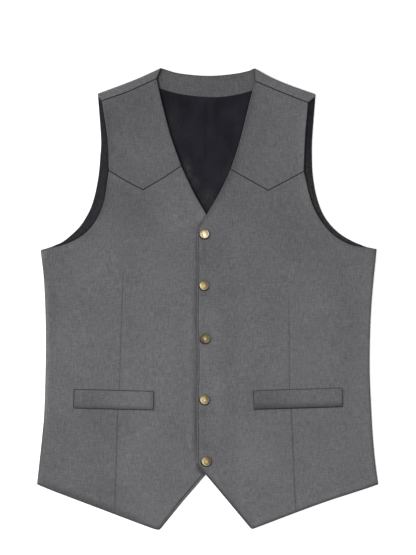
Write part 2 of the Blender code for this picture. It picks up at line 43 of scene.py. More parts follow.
# the cut laid flat, in metres: height and half width on the wearer's right, then on the left
cut = {
    "length": 0.6925,
    "centreFront": -0.003,
    "overlap": 0.0134,
    "closingFoot": 0.0984,
    # the lap's edge wanders: height, how far inward
    "lapWander": ((0.15, 0), (0.206, 0), (0.233, 0.0016), (0.262, 0.0019), (0.283, 0.0008), (0.302, 0), (0.335, 0),
                  (0.362, 0.0007), (0.4, 0.0009), (0.433, 0.0007)),
    "backHemCentre": 0.09,
    "sideSeam": ((0.0676, 0.2564, 0.0675, 0.256), (0.138, 0.2488, 0.115, 0.25), (0.185, 0.2451, 0.175, 0.2458),
                 (0.284, 0.2431, 0.25, 0.2431), (0.368, 0.2456, 0.335, 0.2457), (0.419, 0.251, 0.4205, 0.2536)),
    "armholeLow": ((0.419, 0.251, 0.4205, 0.2536), (0.43, 0.209, 0.429, 0.211), (0.45, 0.178, 0.45, 0.1808),
                   (0.486, 0.1572, 0.486, 0.158), (0.5385, 0.1482, 0.5372, 0.1443)),
    "armholeHigh": ((0.5385, 0.1482, 0.5372, 0.1443), (0.59, 0.1509, 0.59, 0.1465), (0.6431, 0.159, 0.6405, 0.1508)),
    "backArmhole": ((0.419, 0.251, 0.4205, 0.2536), (0.4248, 0.2331, 0.4248, 0.2357), (0.4318, 0.2179, 0.4324, 0.2178),
                    (0.443, 0.2041, 0.443, 0.1998), (0.456, 0.1914, 0.456, 0.1857), (0.47, 0.1824, 0.47, 0.1754),
                    (0.485, 0.1751, 0.485, 0.1685), (0.507, 0.1687, 0.507, 0.162), (0.535, 0.1638, 0.535, 0.1577),
                    (0.562, 0.1615, 0.562, 0.1566), (0.59, 0.1604, 0.59, 0.1571), (0.6539, 0.1649, 0.6531, 0.1617)),
    "neckLow": ((0.453, -0.0104, 0.451, -0.0164), (0.463, -0.0043, 0.4626, -0.0062), (0.473, 0.002, 0.473, -0.0013),
                (0.5003, 0.0179, 0.5003, 0.015),
                (0.5243, 0.0297, 0.5243, 0.0273), (0.5452, 0.0395, 0.5403, 0.0344)),
    "neckHigh": ((0.5452, 0.0395, 0.5403, 0.0344), (0.5683, 0.0478, 0.5683, 0.044), (0.5963, 0.0571, 0.5963, 0.0519),
                 (0.6443, 0.0695, 0.6443, 0.0635), (0.6766, 0.0763, 0.6729, 0.0707)),
    "frontPoint": (-0.001, 0.072, 0.0, 0.0656),
    "hemNearPoint": (0.0024, 0.087, 0.004, 0.077),
    "hemMiddle": (0.0316, 0.1646, 0.0356, 0.1609),
    "hemNearSide": (0.0532, 0.2209, 0.0557, 0.2201),
    "cutaway": {"right": ((-0.039, 0.0396), (-0.019, 0.063)), "left": ()},  # between the point and the closing edge
    "yokeArmSeam": ((0.5385, 0.1482, 0.5372, 0.1443), (0.523, 0.1226, 0.5227, 0.1176), (0.5095, 0.097, 0.5085, 0.0909)),
    "yokeNeckSeam": ((0.5095, 0.097, 0.5085, 0.0909), (0.5262, 0.0683, 0.5244, 0.0626), (0.5452, 0.0395, 0.5403, 0.0344)),
    "shoulderFold": ((0.6539, 0.1649, 0.6531, 0.1617), (0.6708, 0.1196, 0.6662, 0.1247), (0.6808, 0.0956, 0.678, 0.0964),
                     (0.6925, 0.0704, 0.6921, 0.0704)),
    "shoulderSag": (0.6576, 0.118, 0.6558, 0.1115),
    "cornerShare": 0.74,  # up a panel, where the underarm and the neck break lie
}

# levels of the layers above the table, and how the fronts lie over each other
layers = {
    "gap": 0.0003, "backWall": 0.0012, "liningWall": 0.001, "facingWall": 0.0014, "frontWall": 0.0016, "sideWall": 0.0009,
    "weltWall": 0.0014, "lapGap": 0.0006, "hemOverhang": 0.01, "droop": 0.024, "lapRamp": (0.012, 0.05),
    "sideRoll": {"right": 0.005, "left": 0.0022}, "shoulderRadius": 0.0031, "shoulderEase": 0.06,
}
liningLevel = layers["backWall"] + layers["gap"]
frontLevel = liningLevel + layers["liningWall"] + layers["gap"]
signOf = {"right": -1, "left": 1}


def smooth(t):
    t = np.clip(t, 0, 1)
    return t * t * (3 - 2 * t)


def mix(a, b, t):
    return a + (b - a) * t


# from 0 at low to 1 at high, which may lie below it
def ease(t, low, high):
    return smooth((t - low) / (high - low))


# darkness on a line that fades with the distance from it
def fading(d, darkness, reach):
    return darkness * smooth(1 - d / reach)


def bell(d, halfWidth):
    return np.exp(-((d / halfWidth) ** 2))


# a soft mound about a place, 1 at its top
def mound(x, h, atX, atH, reachX, reachH):
    far = ((x - atX) / reachX) ** 2 + ((h - atH) / reachH) ** 2
    return np.where(far < 1, 1 - far, 0) ** 2


def place(row, side):
    return np.array((-row[1], row[0]) if side == "right" else (row[3], row[2]))


# a smooth curve through points, read by the share of its length
def curveThrough(points, steps=24):
    points = np.array(points, float)
    ends = np.vstack([2 * points[0] - points[1], points, 2 * points[-1] - points[-2]])
    t = (np.arange(1, steps + 1) / steps)[:, None]
    line = [points[:1]]
    for a, b, c, d in zip(ends, ends[1:], ends[2:], ends[3:]):
        line.append(b + ((c - a) * t + (2 * a - 5 * b + 4 * c - d) * t**2 + (3 * b - a - 3 * c + d) * t**3) / 2)
    line = np.vstack(line)
    run = np.concatenate([[0], np.cumsum(np.hypot(*np.diff(line, axis=0).T))])

    def at(share):
        wanted = np.clip(share, 0, 1) * run[-1]
        return np.stack([np.interp(wanted, run, line[:, 0]), np.interp(wanted, run, line[:, 1])], -1)

    return at


def edgeOf(name, side):
    return curveThrough([place(row, side) for row in cut[name]])


# curves end to end, each with the share of the whole where it ends
def chain(*runs):
    def at(share):
        share = np.asarray(share, float)
        began, found = 0.0, None
        for endsAt, run in runs:
            here = run((share - began) / (endsAt - began))
            found = here if found is None else np.where((share > began)[..., None], here, found)
            began = endsAt
        return found

    return at


# blunts a corner of a chained edge
def blunted(edge, corner, reach):
    def at(share):
        share = np.asarray(share, float)
        pull = reach * smooth(1 - np.abs(share - corner) / (2 * reach))
        return (edge(share - pull) + 2 * edge(share) + edge(share + pull)) / 4

    return at


# the cloth between four edges
def patch(foot, top, start, end):
    def at(u, v):
        u, v = np.broadcast_arrays(np.asarray(u, float), np.asarray(v, float))
        across, up = u[..., None], v[..., None]
        along = mix(foot(u), top(u), up) + mix(start(v), end(v), across)
        return along - mix(mix(foot(0.0), foot(1.0), across), mix(top(0.0), top(1.0), across), up)

    return at


# distance from a path, and the share along it
def nearPath(x, h, path):
    best, share = np.full(np.shape(x), 9.0), np.zeros(np.shape(x))
    for i, (a, b) in enumerate(zip(path, path[1:])):
        step = b - a
        t = np.clip(((x - a[0]) * step[0] + (h - a[1]) * step[1]) / max(step @ step, 1e-12), 0, 1)
        d = np.hypot(x - a[0] - t * step[0], h - a[1] - t * step[1])
        share = np.where(d < best, (i + t) / (len(path) - 1), share)
        best = np.minimum(best, d)
    return best, share


def away(x, h, path):
    return nearPath(x, h, path)[0]


sideSeams = {side: edgeOf("sideSeam", side) for side in signOf}
seamRows = (cut["armholeHigh"][-1], cut["shoulderSag"], cut["neckHigh"][-1])
shoulderSeams = {side: curveThrough([place(row, side) for row in seamRows]) for side in signOf}
shoulderFolds = {side: edgeOf("shoulderFold", side) for side in signOf}

# soft rises of a front off the layers below: x, height, reach each way, rise
swells = {
    "right": [(-0.128, 0.44, 0.085, 0.13, 0.0026), (-0.188, 0.27, 0.048, 0.15, 0.0014),
              (-0.042, 0.24, 0.085, 0.19, 0.0021), (-0.18, 0.062, 0.07, 0.045, 0.0013), (-0.03, 0.5, 0.055, 0.09, 0.0014)],
    "left": [(0.085, 0.43, 0.1, 0.14, 0.0024), (0.19, 0.3, 0.048, 0.14, 0.0015), (0.082, 0.22, 0.06, 0.16, 0.0016),
             (0.19, 0.08, 0.06, 0.048, 0.001), (0.04, 0.53, 0.046, 0.09, 0.0008)],
}

# creases of the fronts and yokes: points along it, half width, depth, share faded at each end, darkness of the painted
# shade in it
creases = {
    "right": [
        (((-0.0236, 0.105), (-0.024, 0.24), (-0.0236, 0.37)), 0.0055, -0.0007, 0.1, 0),  # swell beside the lap
        (((-0.0164, 0.0975), (-0.0166, 0.16), (-0.0164, 0.225)), 0.003, 0.0007, 0.06, 0.05),
        (((-0.0166, 0.29), (-0.0166, 0.33), (-0.0164, 0.38)), 0.003, 0.0006, 0.2, 0.06),
        (((-0.016, 0.35), (-0.0158, 0.4), (-0.016, 0.445)), 0.003, 0.0003, 0.15, 0.08),
        # shadow of the lap
        (((-0.0166, 0.0985), (-0.0167, 0.206), (-0.015, 0.245), (-0.0152, 0.272), (-0.0167, 0.302), (-0.0167, 0.335),
          (-0.0159, 0.4), (-0.0162, 0.449), (-0.0068, 0.4617), (-0.0014, 0.473)), 0.0009, 0.0003, 0.04, 0.4),
        # deeper between the lower snaps
        (((-0.0172, 0.22), (-0.0174, 0.16), (-0.0171, 0.112)), 0.0011, 0.0003, 0.15, 0.48),
        (((-0.0166, 0.298), (-0.0156, 0.26), (-0.0162, 0.223)), 0.0022, 0.0003, 0.22, 0.2),  # the lap stands off here
        (((-0.0158, 0.453), (-0.0072, 0.462), (-0.0012, 0.474)), 0.0017, 0.0003, 0.15, 0.52),
        (((-0.0172, 0.0985), (-0.0128, 0.0902), (-0.003, 0.079)), 0.0034, 0.0005, 0.3, 0.5),
        (((-0.0174, 0.0996), (-0.012, 0.0912), (-0.002, 0.0792)), 0.0018, 0.0004, 0.1, 0.84),
        # inside the cutaway
        (((-0.004, 0.0868), (-0.023, 0.0643), (-0.043, 0.0404), (-0.06, 0.0203)), 0.0012, 0.0006, 0.3, 0.45),
        # pressed line inside the neck edge
        (((-0.045, 0.543), (-0.056, 0.582), (-0.068, 0.625)), 0.0014, 0.0002, 0.4, 0),
        (((-0.012, 0.474), (-0.024, 0.498), (-0.038, 0.525)), 0.0014, 0.0002, 0.4, 0),
        (((-0.134, 0.176), (-0.1365, 0.11), (-0.139, 0.04)), 0.02, 0.0012, 0.3, 0),  # cloth drawn in along the dart
        (((-0.233, 0.39), (-0.228, 0.35), (-0.231, 0.31)), 0.01, 0.0008, 0.4, 0),
        (((-0.17, 0.418), (-0.15, 0.408), (-0.13, 0.406)), 0.011, 0.0007, 0.4, 0),
        (((-0.15, 0.635), (-0.13, 0.62), (-0.118, 0.595)), 0.012, 0.0007, 0.4, 0),
    ],
    "left": [
        # the lap's edge turns down here
        (((-0.0156, 0.283), (-0.014, 0.256), (-0.0154, 0.225)), 0.0014, 0.0002, 0.2, 0.5),
        (((-0.0152, 0.44), (-0.0142, 0.4), (-0.015, 0.358)), 0.001, 0.0001, 0.15, 0.16),
        (((-0.002, 0.188), (-0.0022, 0.15), (-0.0016, 0.115)), 0.0012, 0.0002, 0.25, 0.1),  # between the snaps
        (((-0.0076, 0.186), (-0.007, 0.15), (-0.0082, 0.118)), 0.0013, 0.0002, 0.25, 0.1),
        (((-0.005, 0.434), (-0.0044, 0.416), (-0.003, 0.396)), 0.0022, 0.0003, 0.22, 0.23),
        (((-0.0086, 0.42), (-0.0092, 0.406), (-0.0084, 0.392)), 0.0016, 0.0002, 0.3, 0.14),
        (((-0.0048, 0.354), (-0.003, 0.328), (-0.0038, 0.298)), 0.0012, 0.0002, 0.25, 0),
        (((-0.004, 0.275), (-0.0052, 0.245), (-0.0045, 0.207)), 0.0012, 0.0002, 0.25, 0),
        # puckers under the second snap
        (((-0.008, 0.359), (-0.0095, 0.355), (-0.011, 0.35)), 0.0009, 0.0003, 0.3, 0.25),
        (((-0.0045, 0.358), (-0.003, 0.354), (-0.001, 0.349)), 0.0009, 0.0003, 0.3, 0.25),
        (((-0.0015, 0.36), (0.001, 0.357), (0.004, 0.354)), 0.0008, 0.0002, 0.3, 0.1),
        (((0.1, 0.425), (0.13, 0.412), (0.165, 0.418)), 0.012, 0.0007, 0.4, 0),
        (((0.015, 0.43), (0.03, 0.415), (0.045, 0.42)), 0.012, 0.0006, 0.4, 0),
        (((0.014, 0.355), (0.03, 0.325), (0.044, 0.315)), 0.012, 0.0006, 0.4, 0),
        (((0.225, 0.395), (0.208, 0.385), (0.193, 0.388)), 0.009, 0.0006, 0.4, 0),
    ],
}

# darts: heights and half widths from the foot to the top, depth, length over which the top fades
darts = {
    "right": ((0.0243, 0.175, 0.21, 0.3915), (0.1392, 0.1349, 0.1321, 0.1261), 0.0003, 0.012),
    "left": ((0.0273, 0.1785, 0.2138, 0.385), (0.1325, 0.1256, 0.1231, 0.1222), 0.0003, 0.1),
}

# how far neck and armhole edges stand up, and over what width
curls = {"neck": (0.0016, 0.012), "armhole": (0.0014, 0.013)}


def backHem(x):
    corner = np.where(np.asarray(x) < 0, cut["sideSeam"][0][1], cut["sideSeam"][0][3])
    height = np.where(np.asarray(x) < 0, cut["sideSeam"][0][0], cut["sideSeam"][0][2])
    return mix(cut["backHemCentre"], height, np.minimum(np.abs(x) / corner, 1) ** 2)


def seamDistance(side, x, h):
    seam = sideSeams[side](np.linspace(0, 1, 200))
    underarm = seam[-1, 1]
    inward = np.interp(np.minimum(h, underarm), seam[:, 1], np.abs(seam[:, 0])) - np.abs(x)
    return np.hypot(np.maximum(inward, 0), np.maximum(h - underarm, 0))


# underside of a front that only the back and the lining carry
def singleUnder(side, x, h):
    pastHem = h - backHem(x) + layers["hemOverhang"]
    z = frontLevel * smooth(1 + pastHem / layers["droop"])
    overTable = smooth(2 + pastHem / layers["droop"])
    for *spot, rise in swells[side]:
        z = z + overTable * rise * mound(x, h, *spot)
    arm, neck = shoulderSeams[side](0.0), shoulderSeams[side](1.0)
    crest = mix(arm[1], neck[1], np.clip((x - arm[0]) / (neck[0] - arm[0]), 0, 1))
    lift = 2 * layers["shoulderRadius"] - layers["frontWall"] - frontLevel
    z = z + lift * ease(h, crest - layers["shoulderEase"], crest)
    return mix(liningLevel, z, smooth(seamDistance(side, x, h) / layers["sideRoll"][side]))


def frontWall(side, x, h):
    return mix(layers["sideWall"], layers["frontWall"], smooth(seamDistance(side, x, h) / layers["sideRoll"][side]))


# the left front steps up over the right one where they close
def frontUnder(side, x, h):
    z = singleUnder(side, x, h)
    if side == "right":
        return z
    lapped = singleUnder("right", np.minimum(x, cut["centreFront"] + cut["overlap"]), h)
    lapped = lapped + layers["frontWall"] + layers["lapGap"]
    return mix(lapped, z, ease(x, *layers["lapRamp"]))


# drop of the surface and painted shade in a set of creases
def creased(x, h, lines):
    z, dark = np.zeros(np.shape(x)), np.zeros(np.shape(x))
    for points, halfWidth, depth, fade, darkness in lines:
        d, share = nearPath(x, h, curveThrough(points)(np.linspace(0, 1, 25)))
        here = smooth(share / fade) * smooth((1 - share) / fade) * bell(d, halfWidth)
        z = z - depth * here
        dark = np.maximum(dark, darkness * here)
    return z, dark


def frontTop(side, x, h):
    return frontUnder(side, x, h) + frontWall(side, x, h) + creased(x, h, creases[side])[0]


# level of painted light and shade in a set of patches, 1 outside them
def faded(x, h, patches):
    level = np.ones(np.shape(x))
    for *spot, value in patches:
        level = level * mix(1, value, mound(x, h, *spot))
    return level


# a thick turned edge stands up a little
def curled(name, d):
    rise, reach = curls[name]
    return rise * np.clip(1 - d / reach, 0, 1) ** 2


# how far an edge is rolled down at a distance d from it
def rolled(d, radius, depth):
    t = 1 - np.clip(d / radius, 0, 1)
    return depth * (1 - np.sqrt(np.maximum(1 - t * t, 0)))


# positions from a to b, close together near each end
def spread(a, b, near, far, count):
    start = a + np.array((0.0, *near))
    end = b - np.array(far)[::-1]
    last = end[0] if len(far) else b
    middle = np.linspace(start[-1], last, count + 1)[1:-1]
    return np.concatenate([start, middle, end])


# columns of each row are placed by their real distance from the marks, so edges and darts get fine cells
def layRows(at, shares, marks, fine, counts):
    dense = np.unique(np.concatenate([np.linspace(0, 1, 241), marks]))
    grid = []
    for v in shares:
        line = at(dense, v)
        run = np.concatenate([[0], np.cumsum(np.hypot(*np.diff(line, axis=0).T))])
        stops = np.interp(marks, dense, run)
        spots = [spread(stops[i], stops[i + 1], fine[i], fine[i + 1], counts[i]) for i in range(len(counts))]
        spots = np.concatenate([*spots, stops[-1:]])
        grid.append(at(np.interp(spots, run, dense), v))
    return np.stack(grid, 1)


def onTable(grid, z):
    return np.stack([grid[..., 0], grid[..., 1] - cut["length"] / 2, z], -1)


def cellArea(grid):
    a, b = grid[1:, 1:] - grid[:-1, :-1], grid[:-1, 1:] - grid[1:, :-1]
    return float(np.abs(a[..., 0] * b[..., 1] - a[..., 1] * b[..., 0]).sum() / 2)


# closes a sheet between its upper and lower skins, with finer cells where a sunk line runs, sunk and painted with shade
def clothPiece(name, over, under, shade, tone=1.0, keep=None, sunk=()):
    columns, rows = over.shape[:2]
    bpy.ops.object.select_all(action="DESELECT")
    bpy.ops.mesh.primitive_grid_add(x_subdivisions=columns - 1, y_subdivisions=rows - 1, size=1)
    piece = bpy.context.object
    piece.name = piece.data.name = name
    piece.data.vertices.foreach_set("co", over.swapaxes(0, 1).ravel())
    while piece.data.uv_layers:
        piece.data.uv_layers.remove(piece.data.uv_layers[0])
    shape = bmesh.new()
    shape.from_mesh(piece.data)
    shape.verts.ensure_lookup_table()
    shape.faces.ensure_lookup_table()
    low = shape.verts.layers.float_vector.new("underside")
    # shade holds painted shade, tone holds painted light and shade
    dark = shape.verts.layers.float.new("shade")
    paintedLightShadeLayer = shape.verts.layers.float.new("tone")
    lower, tones = under.swapaxes(0, 1).reshape(-1, 3), np.broadcast_to(tone, (columns, rows))
    for vert, point, depth, level in zip(shape.verts, lower, shade.T.ravel(), tones.T.ravel()):
        vert[low] = point
        vert[dark] = depth
        vert[paintedLightShadeLayer] = level
    if keep is not None:
        gone = [f for f in shape.faces if not keep[f.index % (columns - 1), f.index // (columns - 1)]]
        bmesh.ops.delete(shape, geom=gone, context="FACES")
    for line in sunk:
        for reach, cuts in line["passes"]:
            centres = np.array([f.calc_center_median() for f in shape.faces])
            near = line["near"](centres[:, 0], centres[:, 1] + cut["length"] / 2)[0] < reach
            edges = dict.fromkeys(e for f, wanted in zip(shape.faces, near) if wanted for e in f.edges)
            bmesh.ops.subdivide_edges(shape, edges=list(edges), cuts=cuts, use_grid_fill=True)
        places = np.array([v.co for v in shape.verts])
        d, weight = line["near"](places[:, 0], places[:, 1] + cut["length"] / 2)
        drop = bell(d, line["halfWidth"]) * weight
        # each sunk line drops the cloth and paints shade along it
        for vert, fall in zip(shape.verts, drop):
            vert.co.z -= fall * line["depth"]
            vert[dark] = max(vert[dark], min(fall * line["shade"], 1))
    raised = bmesh.ops.extrude_face_region(shape, geom=shape.faces[:])["geom"]
    skin = {v for v in raised if isinstance(v, bmesh.types.BMVert)}
    for vert in shape.verts:
        if vert not in skin:
            vert.co = vert[low]
    bmesh.ops.recalc_face_normals(shape, faces=shape.faces[:])
    shape.verts.layers.float_vector.remove(shape.verts.layers.float_vector["underside"])
    shape.to_mesh(piece.data)
    shape.free()
    piece.data.shade_smooth()
    piece.data.set_sharp_from_angle(angle=math.radians(70))
    print("  ", name, len(piece.data.polygons), "faces")
    return piece


# sets inputs of a node, each to a value or to another node's output
def feed(tree, node, inputs):
    for name, value in inputs.items():
        if isinstance(value, bpy.types.NodeSocket):
            tree.links.new(value, node.inputs[name])
        else:
            node.inputs[name].default_value = value


def addNode(tree, kind, inputs, output, **settings):
    node = tree.nodes.new(f"ShaderNode{kind}")
    for key, value in settings.items():
        setattr(node, key, value)
    feed(tree, node, inputs)
    return node.outputs[output]


def noiseOf(tree, coords, scale, detail, roughness=0.5):
    vector = addNode(tree, "Mapping", {"Vector": coords, "Scale": scale}, "Vector")
    return addNode(tree, "TexNoise", {"Vector": vector, "Scale": 1.0, "Detail": detail, "Roughness": roughness}, "Fac")


def mathOf(tree, operation, a, b):
    return addNode(tree, "Math", {0: a, 1: b}, "Value", operation=operation)


# values added up by their shares
def sumOf(tree, values, shares):
    terms = [mathOf(tree, "MULTIPLY", value, share) for value, share in zip(values, shares)]
    total = terms[0]
    for term in terms[1:]:
        total = mathOf(tree, "ADD", total, term)
    return total


def rampOf(tree, factor, stops):
    node = tree.nodes.new("ShaderNodeValToRGB")
    ramp = node.color_ramp
    while len(ramp.elements) < len(stops):
        ramp.elements.new(0.5)
    for element, (position, colour) in zip(ramp.elements, stops):
        element.position = position
        element.color = (*colour, 1)
    feed(tree, node, {"Fac": factor})
    return node.outputs["Color"]


def rangeOf(tree, factor, low, high):
    return addNode(tree, "MapRange", {"Value": factor, "To Min": low, "To Max": high}, "Result")


def bandsOf(tree, coords, direction, pitch):
    oneBand = math.pi / (10 if direction in "XYZ" else 5)  # at a scale of 1
    return addNode(tree, "TexWave", {"Vector": coords, "Scale": oneBand / pitch}, "Fac",
                   wave_type="BANDS", bands_direction=direction)


def attributeOf(tree, name):
    return addNode(tree, "Attribute", {}, "Fac", attribute_name=name)


def blendOf(tree, factor, a, b):
    return addNode(tree, "Mix", {"Factor": factor, "A": a, "B": b}, "Result", data_type="RGBA")


def bumpOf(tree, height, strength, distance):
    return addNode(tree, "Bump", {"Height": height, "Strength": strength, "Distance": distance}, "Normal")


def newMaterial(name):
    material = bpy.data.materials.new(name)
    material.use_nodes = True
    tree = material.node_tree
    return material, tree, tree.nodes["Principled BSDF"], addNode(tree, "TexCoord", {}, "Object")


suitingLook = {
    "dark": (0.0672, 0.0672, 0.0707), "middle": (0.1078, 0.1078, 0.1129), "light": (0.1546, 0.1546, 0.1612),
    "stops": (0.32, 0.5, 0.68), "shadeColour": (0.012, 0.012, 0.013, 1), "roughness": (0.78, 0.94),
    "slub": (620, 110), "speck": (430, 430, 430), "tone": (11, 11, 11),
    "shares": (0.32, 0.24, 0.28, 0.16),  # of warp, weft, speck and tone
    "weavePitch": 0.00055, "weave": (0.35, 0.00012), "specular": 0.1, "sheen": (0.06, 0.45),
}


def suitingMaterial(look):
    material, tree, shader, coords = newMaterial("greySuiting")
    fine, long = look["slub"]
    warp = noiseOf(tree, coords, (fine, long, fine), 2.0)
    weft = noiseOf(tree, coords, (long, fine, fine), 2.0)
    speck = noiseOf(tree, coords, look["speck"], 3.0, 0.6)
    tone = noiseOf(tree, coords, look["tone"], 3.0)
    heather = sumOf(tree, (warp, weft, speck, tone), look["shares"])
    cloth = rampOf(tree, heather, list(zip(look["stops"], (look["dark"], look["middle"], look["light"]))))
    # the tone attribute paints light and shade into the cloth's colour
    paintedLightAndShade = addNode(tree, "VectorMath", {0: cloth, 1: attributeOf(tree, "tone")}, "Vector", operation="MULTIPLY")
    over, across = (bandsOf(tree, coords, axis, look["weavePitch"]) for axis in "XY")
    weave = mathOf(tree, "ADD", mathOf(tree, "MULTIPLY", over, across), heather)
    weight, roughness = look["sheen"]
    # the shade attribute blends to a painted shade colour
    feed(tree, shader, {
        "Base Color": blendOf(tree, attributeOf(tree, "shade"), paintedLightAndShade, look["shadeColour"]),
        "Roughness": rangeOf(tree, speck, *look["roughness"]), "Normal": bumpOf(tree, weave, *look["weave"]),
        "Specular IOR Level": look["specular"], "Sheen Weight": weight, "Sheen Roughness": roughness})
    return material


liningSatin = {
    "dark": (0.006, 0.0055, 0.0085), "light": (0.0172, 0.0156, 0.0224), "shadeColour": (0.002, 0.002, 0.0024, 1),
    # armDark and armLight: the greyer cloth that paints light on the lining
    "armDark": (0.013, 0.013, 0.0138), "armLight": (0.043, 0.043, 0.045), "stops": (0.34, 0.66),
    "cloud": (26, 15.6, 26), "thread": (1100, 160, 1100), "shares": (0.7, 0.3),  # of cloud and thread
    "roughness": (0.4, 0.6), "twillPitch": 0.0007, "twill": (0.25, 0.0001), "specular": 0.07,
}


def liningMaterial(look):
    material, tree, shader, coords = newMaterial("blackLining")
    cloud = noiseOf(tree, coords, look["cloud"], 4.0, 0.6)
    thread = noiseOf(tree, coords, look["thread"], 2.0)
    both = sumOf(tree, (cloud, thread), look["shares"])
    black = rampOf(tree, both, list(zip(look["stops"], (look["dark"], look["light"]))))
    grey = rampOf(tree, thread, list(zip(look["stops"], (look["armDark"], look["armLight"]))))
    wornAndPaintedLight = blendOf(tree, attributeOf(tree, "tone"), black, grey)  # tone blends to a greyer cloth: painted light on the lining in the armholes and on its wrinkles
    twill = mathOf(tree, "ADD", bandsOf(tree, coords, "DIAGONAL", look["twillPitch"]), cloud)
    # the shade attribute blends to a painted shade colour
    feed(tree, shader, {
        "Base Color": blendOf(tree, attributeOf(tree, "shade"), wornAndPaintedLight, look["shadeColour"]),
        "Roughness": rangeOf(tree, both, *look["roughness"]), "Normal": bumpOf(tree, twill, *look["twill"]),
        "Specular IOR Level": look["specular"]})
    return material


brassLook = {
    "highlightColour": (0.98, 0.85, 0.64, 1), "bright": (0.44, 0.34, 0.165), "wornAndPaintedLight": (0.22, 0.158, 0.06),
    "patinaAndShade": (0.048, 0.035, 0.014, 1), "stops": (0.34, 0.6), "roughness": (0.66, 0.46),
    "blotch": (420, 420, 420), "scratch": (2600, 500, 900), "shares": (0.75, 0.25), "pits": (0.2, 0.0001),
}


def brassMaterial(look):
    material, tree, shader, coords = newMaterial("agedBrass")
    blotch = noiseOf(tree, coords, look["blotch"], 4.0, 0.62)
    scratch = noiseOf(tree, coords, look["scratch"], 2.0)
    wear = sumOf(tree, (blotch, scratch), look["shares"])
    metal = rampOf(tree, wear, list(zip(look["stops"], (look["wornAndPaintedLight"], look["bright"]))))
    # the shade attribute blends to an aged colour that also stands for painted shade
    tarnishedAndShaded = blendOf(tree, attributeOf(tree, "shade"), metal, look["patinaAndShade"])
    # the highlight attribute blends the base colour to a painted highlight colour
    feed(tree, shader, {
        "Base Color": blendOf(tree, attributeOf(tree, "paintedHighlight"), tarnishedAndShaded, look["highlightColour"]),
        "Roughness": rangeOf(tree, wear, *look["roughness"]), "Normal": bumpOf(tree, wear, *look["pits"]),
        "Metallic": 1.0})
    return material


suiting = suitingMaterial(suitingLook)
satin = liningMaterial(liningSatin)
brass = brassMaterial(brassLook)
print("materials made")


def finishPiece(piece, material, slot, *nodes):
    piece.data.materials.clear()
    piece.data.materials.append(material)
    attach(piece, "root")
    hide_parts(*nodes)
    return piece


# a sheet from its grid and the heights of its two skins, with its area
def laySheet(name, material, slot, node, grid, over, under, shade, tone, sunk=()):
    under = np.broadcast_to(under, over.shape)
    piece = clothPiece(name, onTable(grid, over), onTable(grid, under), shade, tone, sunk=sunk)
    return finishPiece(piece, material, slot, node), cellArea(grid)


fineEdge = (0.0001, 0.0003, 0.0006, 0.001, 0.0016, 0.0026)
edgeRoll = (0.0014, 0.0014)  # radius and depth of a turned edge
seamLine = (0.9, 0.0011)  # painted shade in a pressed seam: darkness and reach
armLine = (0.5, 0.0016)  # painted shade along an armhole edge: darkness and reach


def scaled(fine, unit):
    return tuple(d / unit for d in fine)


def spreadAll(a, b, fine, count):
    return np.concatenate([spread(a, b, fine, fine, count), [b]])


# columns across the back: fine at its sides and near each end of the neck
def acrossBack(share, fine, nearNeck, counts):
    side, middle = counts
    return np.concatenate([spread(0, share, fine, nearNeck, side), spread(share, 1 - share, (), (), middle),
                           spread(1 - share, 1, nearNeck, fine, side), [1.0]])


# the back's hem between two side edges, turned up by so much
def hemBetween(start, end, turnUp=0.0):
    def at(u):
        x = mix(start(0.0)[0], end(0.0)[0], np.asarray(u, float))
        return np.stack([x, backHem(x) + turnUp], -1)

    return at


def trimmed(edge, corner):
    share = cut["cornerShare"]
    return lambda v: edge(v) + (corner - edge(1.0)) * ease(np.asarray(v), share, 1)[..., None]


def panelRows(low, high, fineFoot, fineTop, unit=0.5):
    corner = cut["cornerShare"]
    foot = np.array((0.0, *fineFoot)) / unit
    top = 1 - np.array((0.0, *fineTop))[::-1] / unit
    below, above = np.linspace(foot[-1], corner, low + 1)[1:], np.linspace(corner, top[0], high + 1)[1:-1]
    return np.concatenate([foot, below, above, top])


def fromSides(grid):
    return np.minimum(*[away(grid[..., 0], grid[..., 1], grid[i, ::3]) for i in (0, -1)])


# distance from two edges that meet
def fromEdges(x, h, side, names, steps):
    return np.minimum(*[away(x, h, edgeOf(name, side)(np.linspace(0, 1, steps))) for name in names])


# the nearest of several lines: its distance and its weight
def nearest(pairs):
    distances, weights = (np.stack(part) for part in zip(*pairs))
    first = distances.argmin(0)[None]
    return [np.take_along_axis(part, first, 0)[0] for part in (distances, weights)]


backLook = {
    "flat": (0.5128, 0.64), "columns": (40, 58), "rowsLow": 96, "rowsHigh": 64, "foldRows": 12, "tabRows": 9,
    "nearNeck": (0.0004, 0.0009, 0.0015, 0.0024, 0.0036), "edgeRoll": (0.0014, 0.00084), "shoulderShare": 0.29,
    "tabLength": 0.096, "tabDepth": 0.026, "tabSpan": 0.095, "tabSide": (0.001, 0.0008), "tabSeam": (0.0009, 0.001),
    "tabShade": (0.95, 0.0034, 0.0015),  # painted shade beside the neck: darkness, reach on the right and on the left
    "seamShade": (0.15, 0.4, 0.7, 0.85, 0.9),  # painted shade on the last rows before the shoulder seam
    "armRim": (0.9, 0.0022, 0.58, 0.65),  # painted shade on the armhole rim: darkness, reach, from which height to which
    "neck": ((-0.0676, 0.6914), (-0.063, 0.6902), (-0.0476, 0.6856), (-0.0244, 0.6823), (0.0019, 0.6808),
             (0.0259, 0.6822), (0.0484, 0.6853), (0.0625, 0.6887), (0.0672, 0.6906)),
    # creases of the hidden side, in the same form as those of the fronts
    "creases": [(((-0.17, 0.4), (-0.13, 0.38), (-0.07, 0.385)), 0.008, 0.0003, 0.4, 0),
                (((0.18, 0.37), (0.12, 0.35), (0.08, 0.33)), 0.009, 0.0003, 0.4, 0),
                (((-0.21, 0.23), (-0.15, 0.22), (-0.1, 0.235)), 0.007, 0.0003, 0.4, 0),
                (((0.2, 0.19), (0.15, 0.205), (0.07, 0.2)), 0.007, 0.0003, 0.4, 0),
                (((-0.01, 0.63), (-0.008, 0.45), (-0.006, 0.25)), 0.01, 0.0002, 0.3, 0)],
}


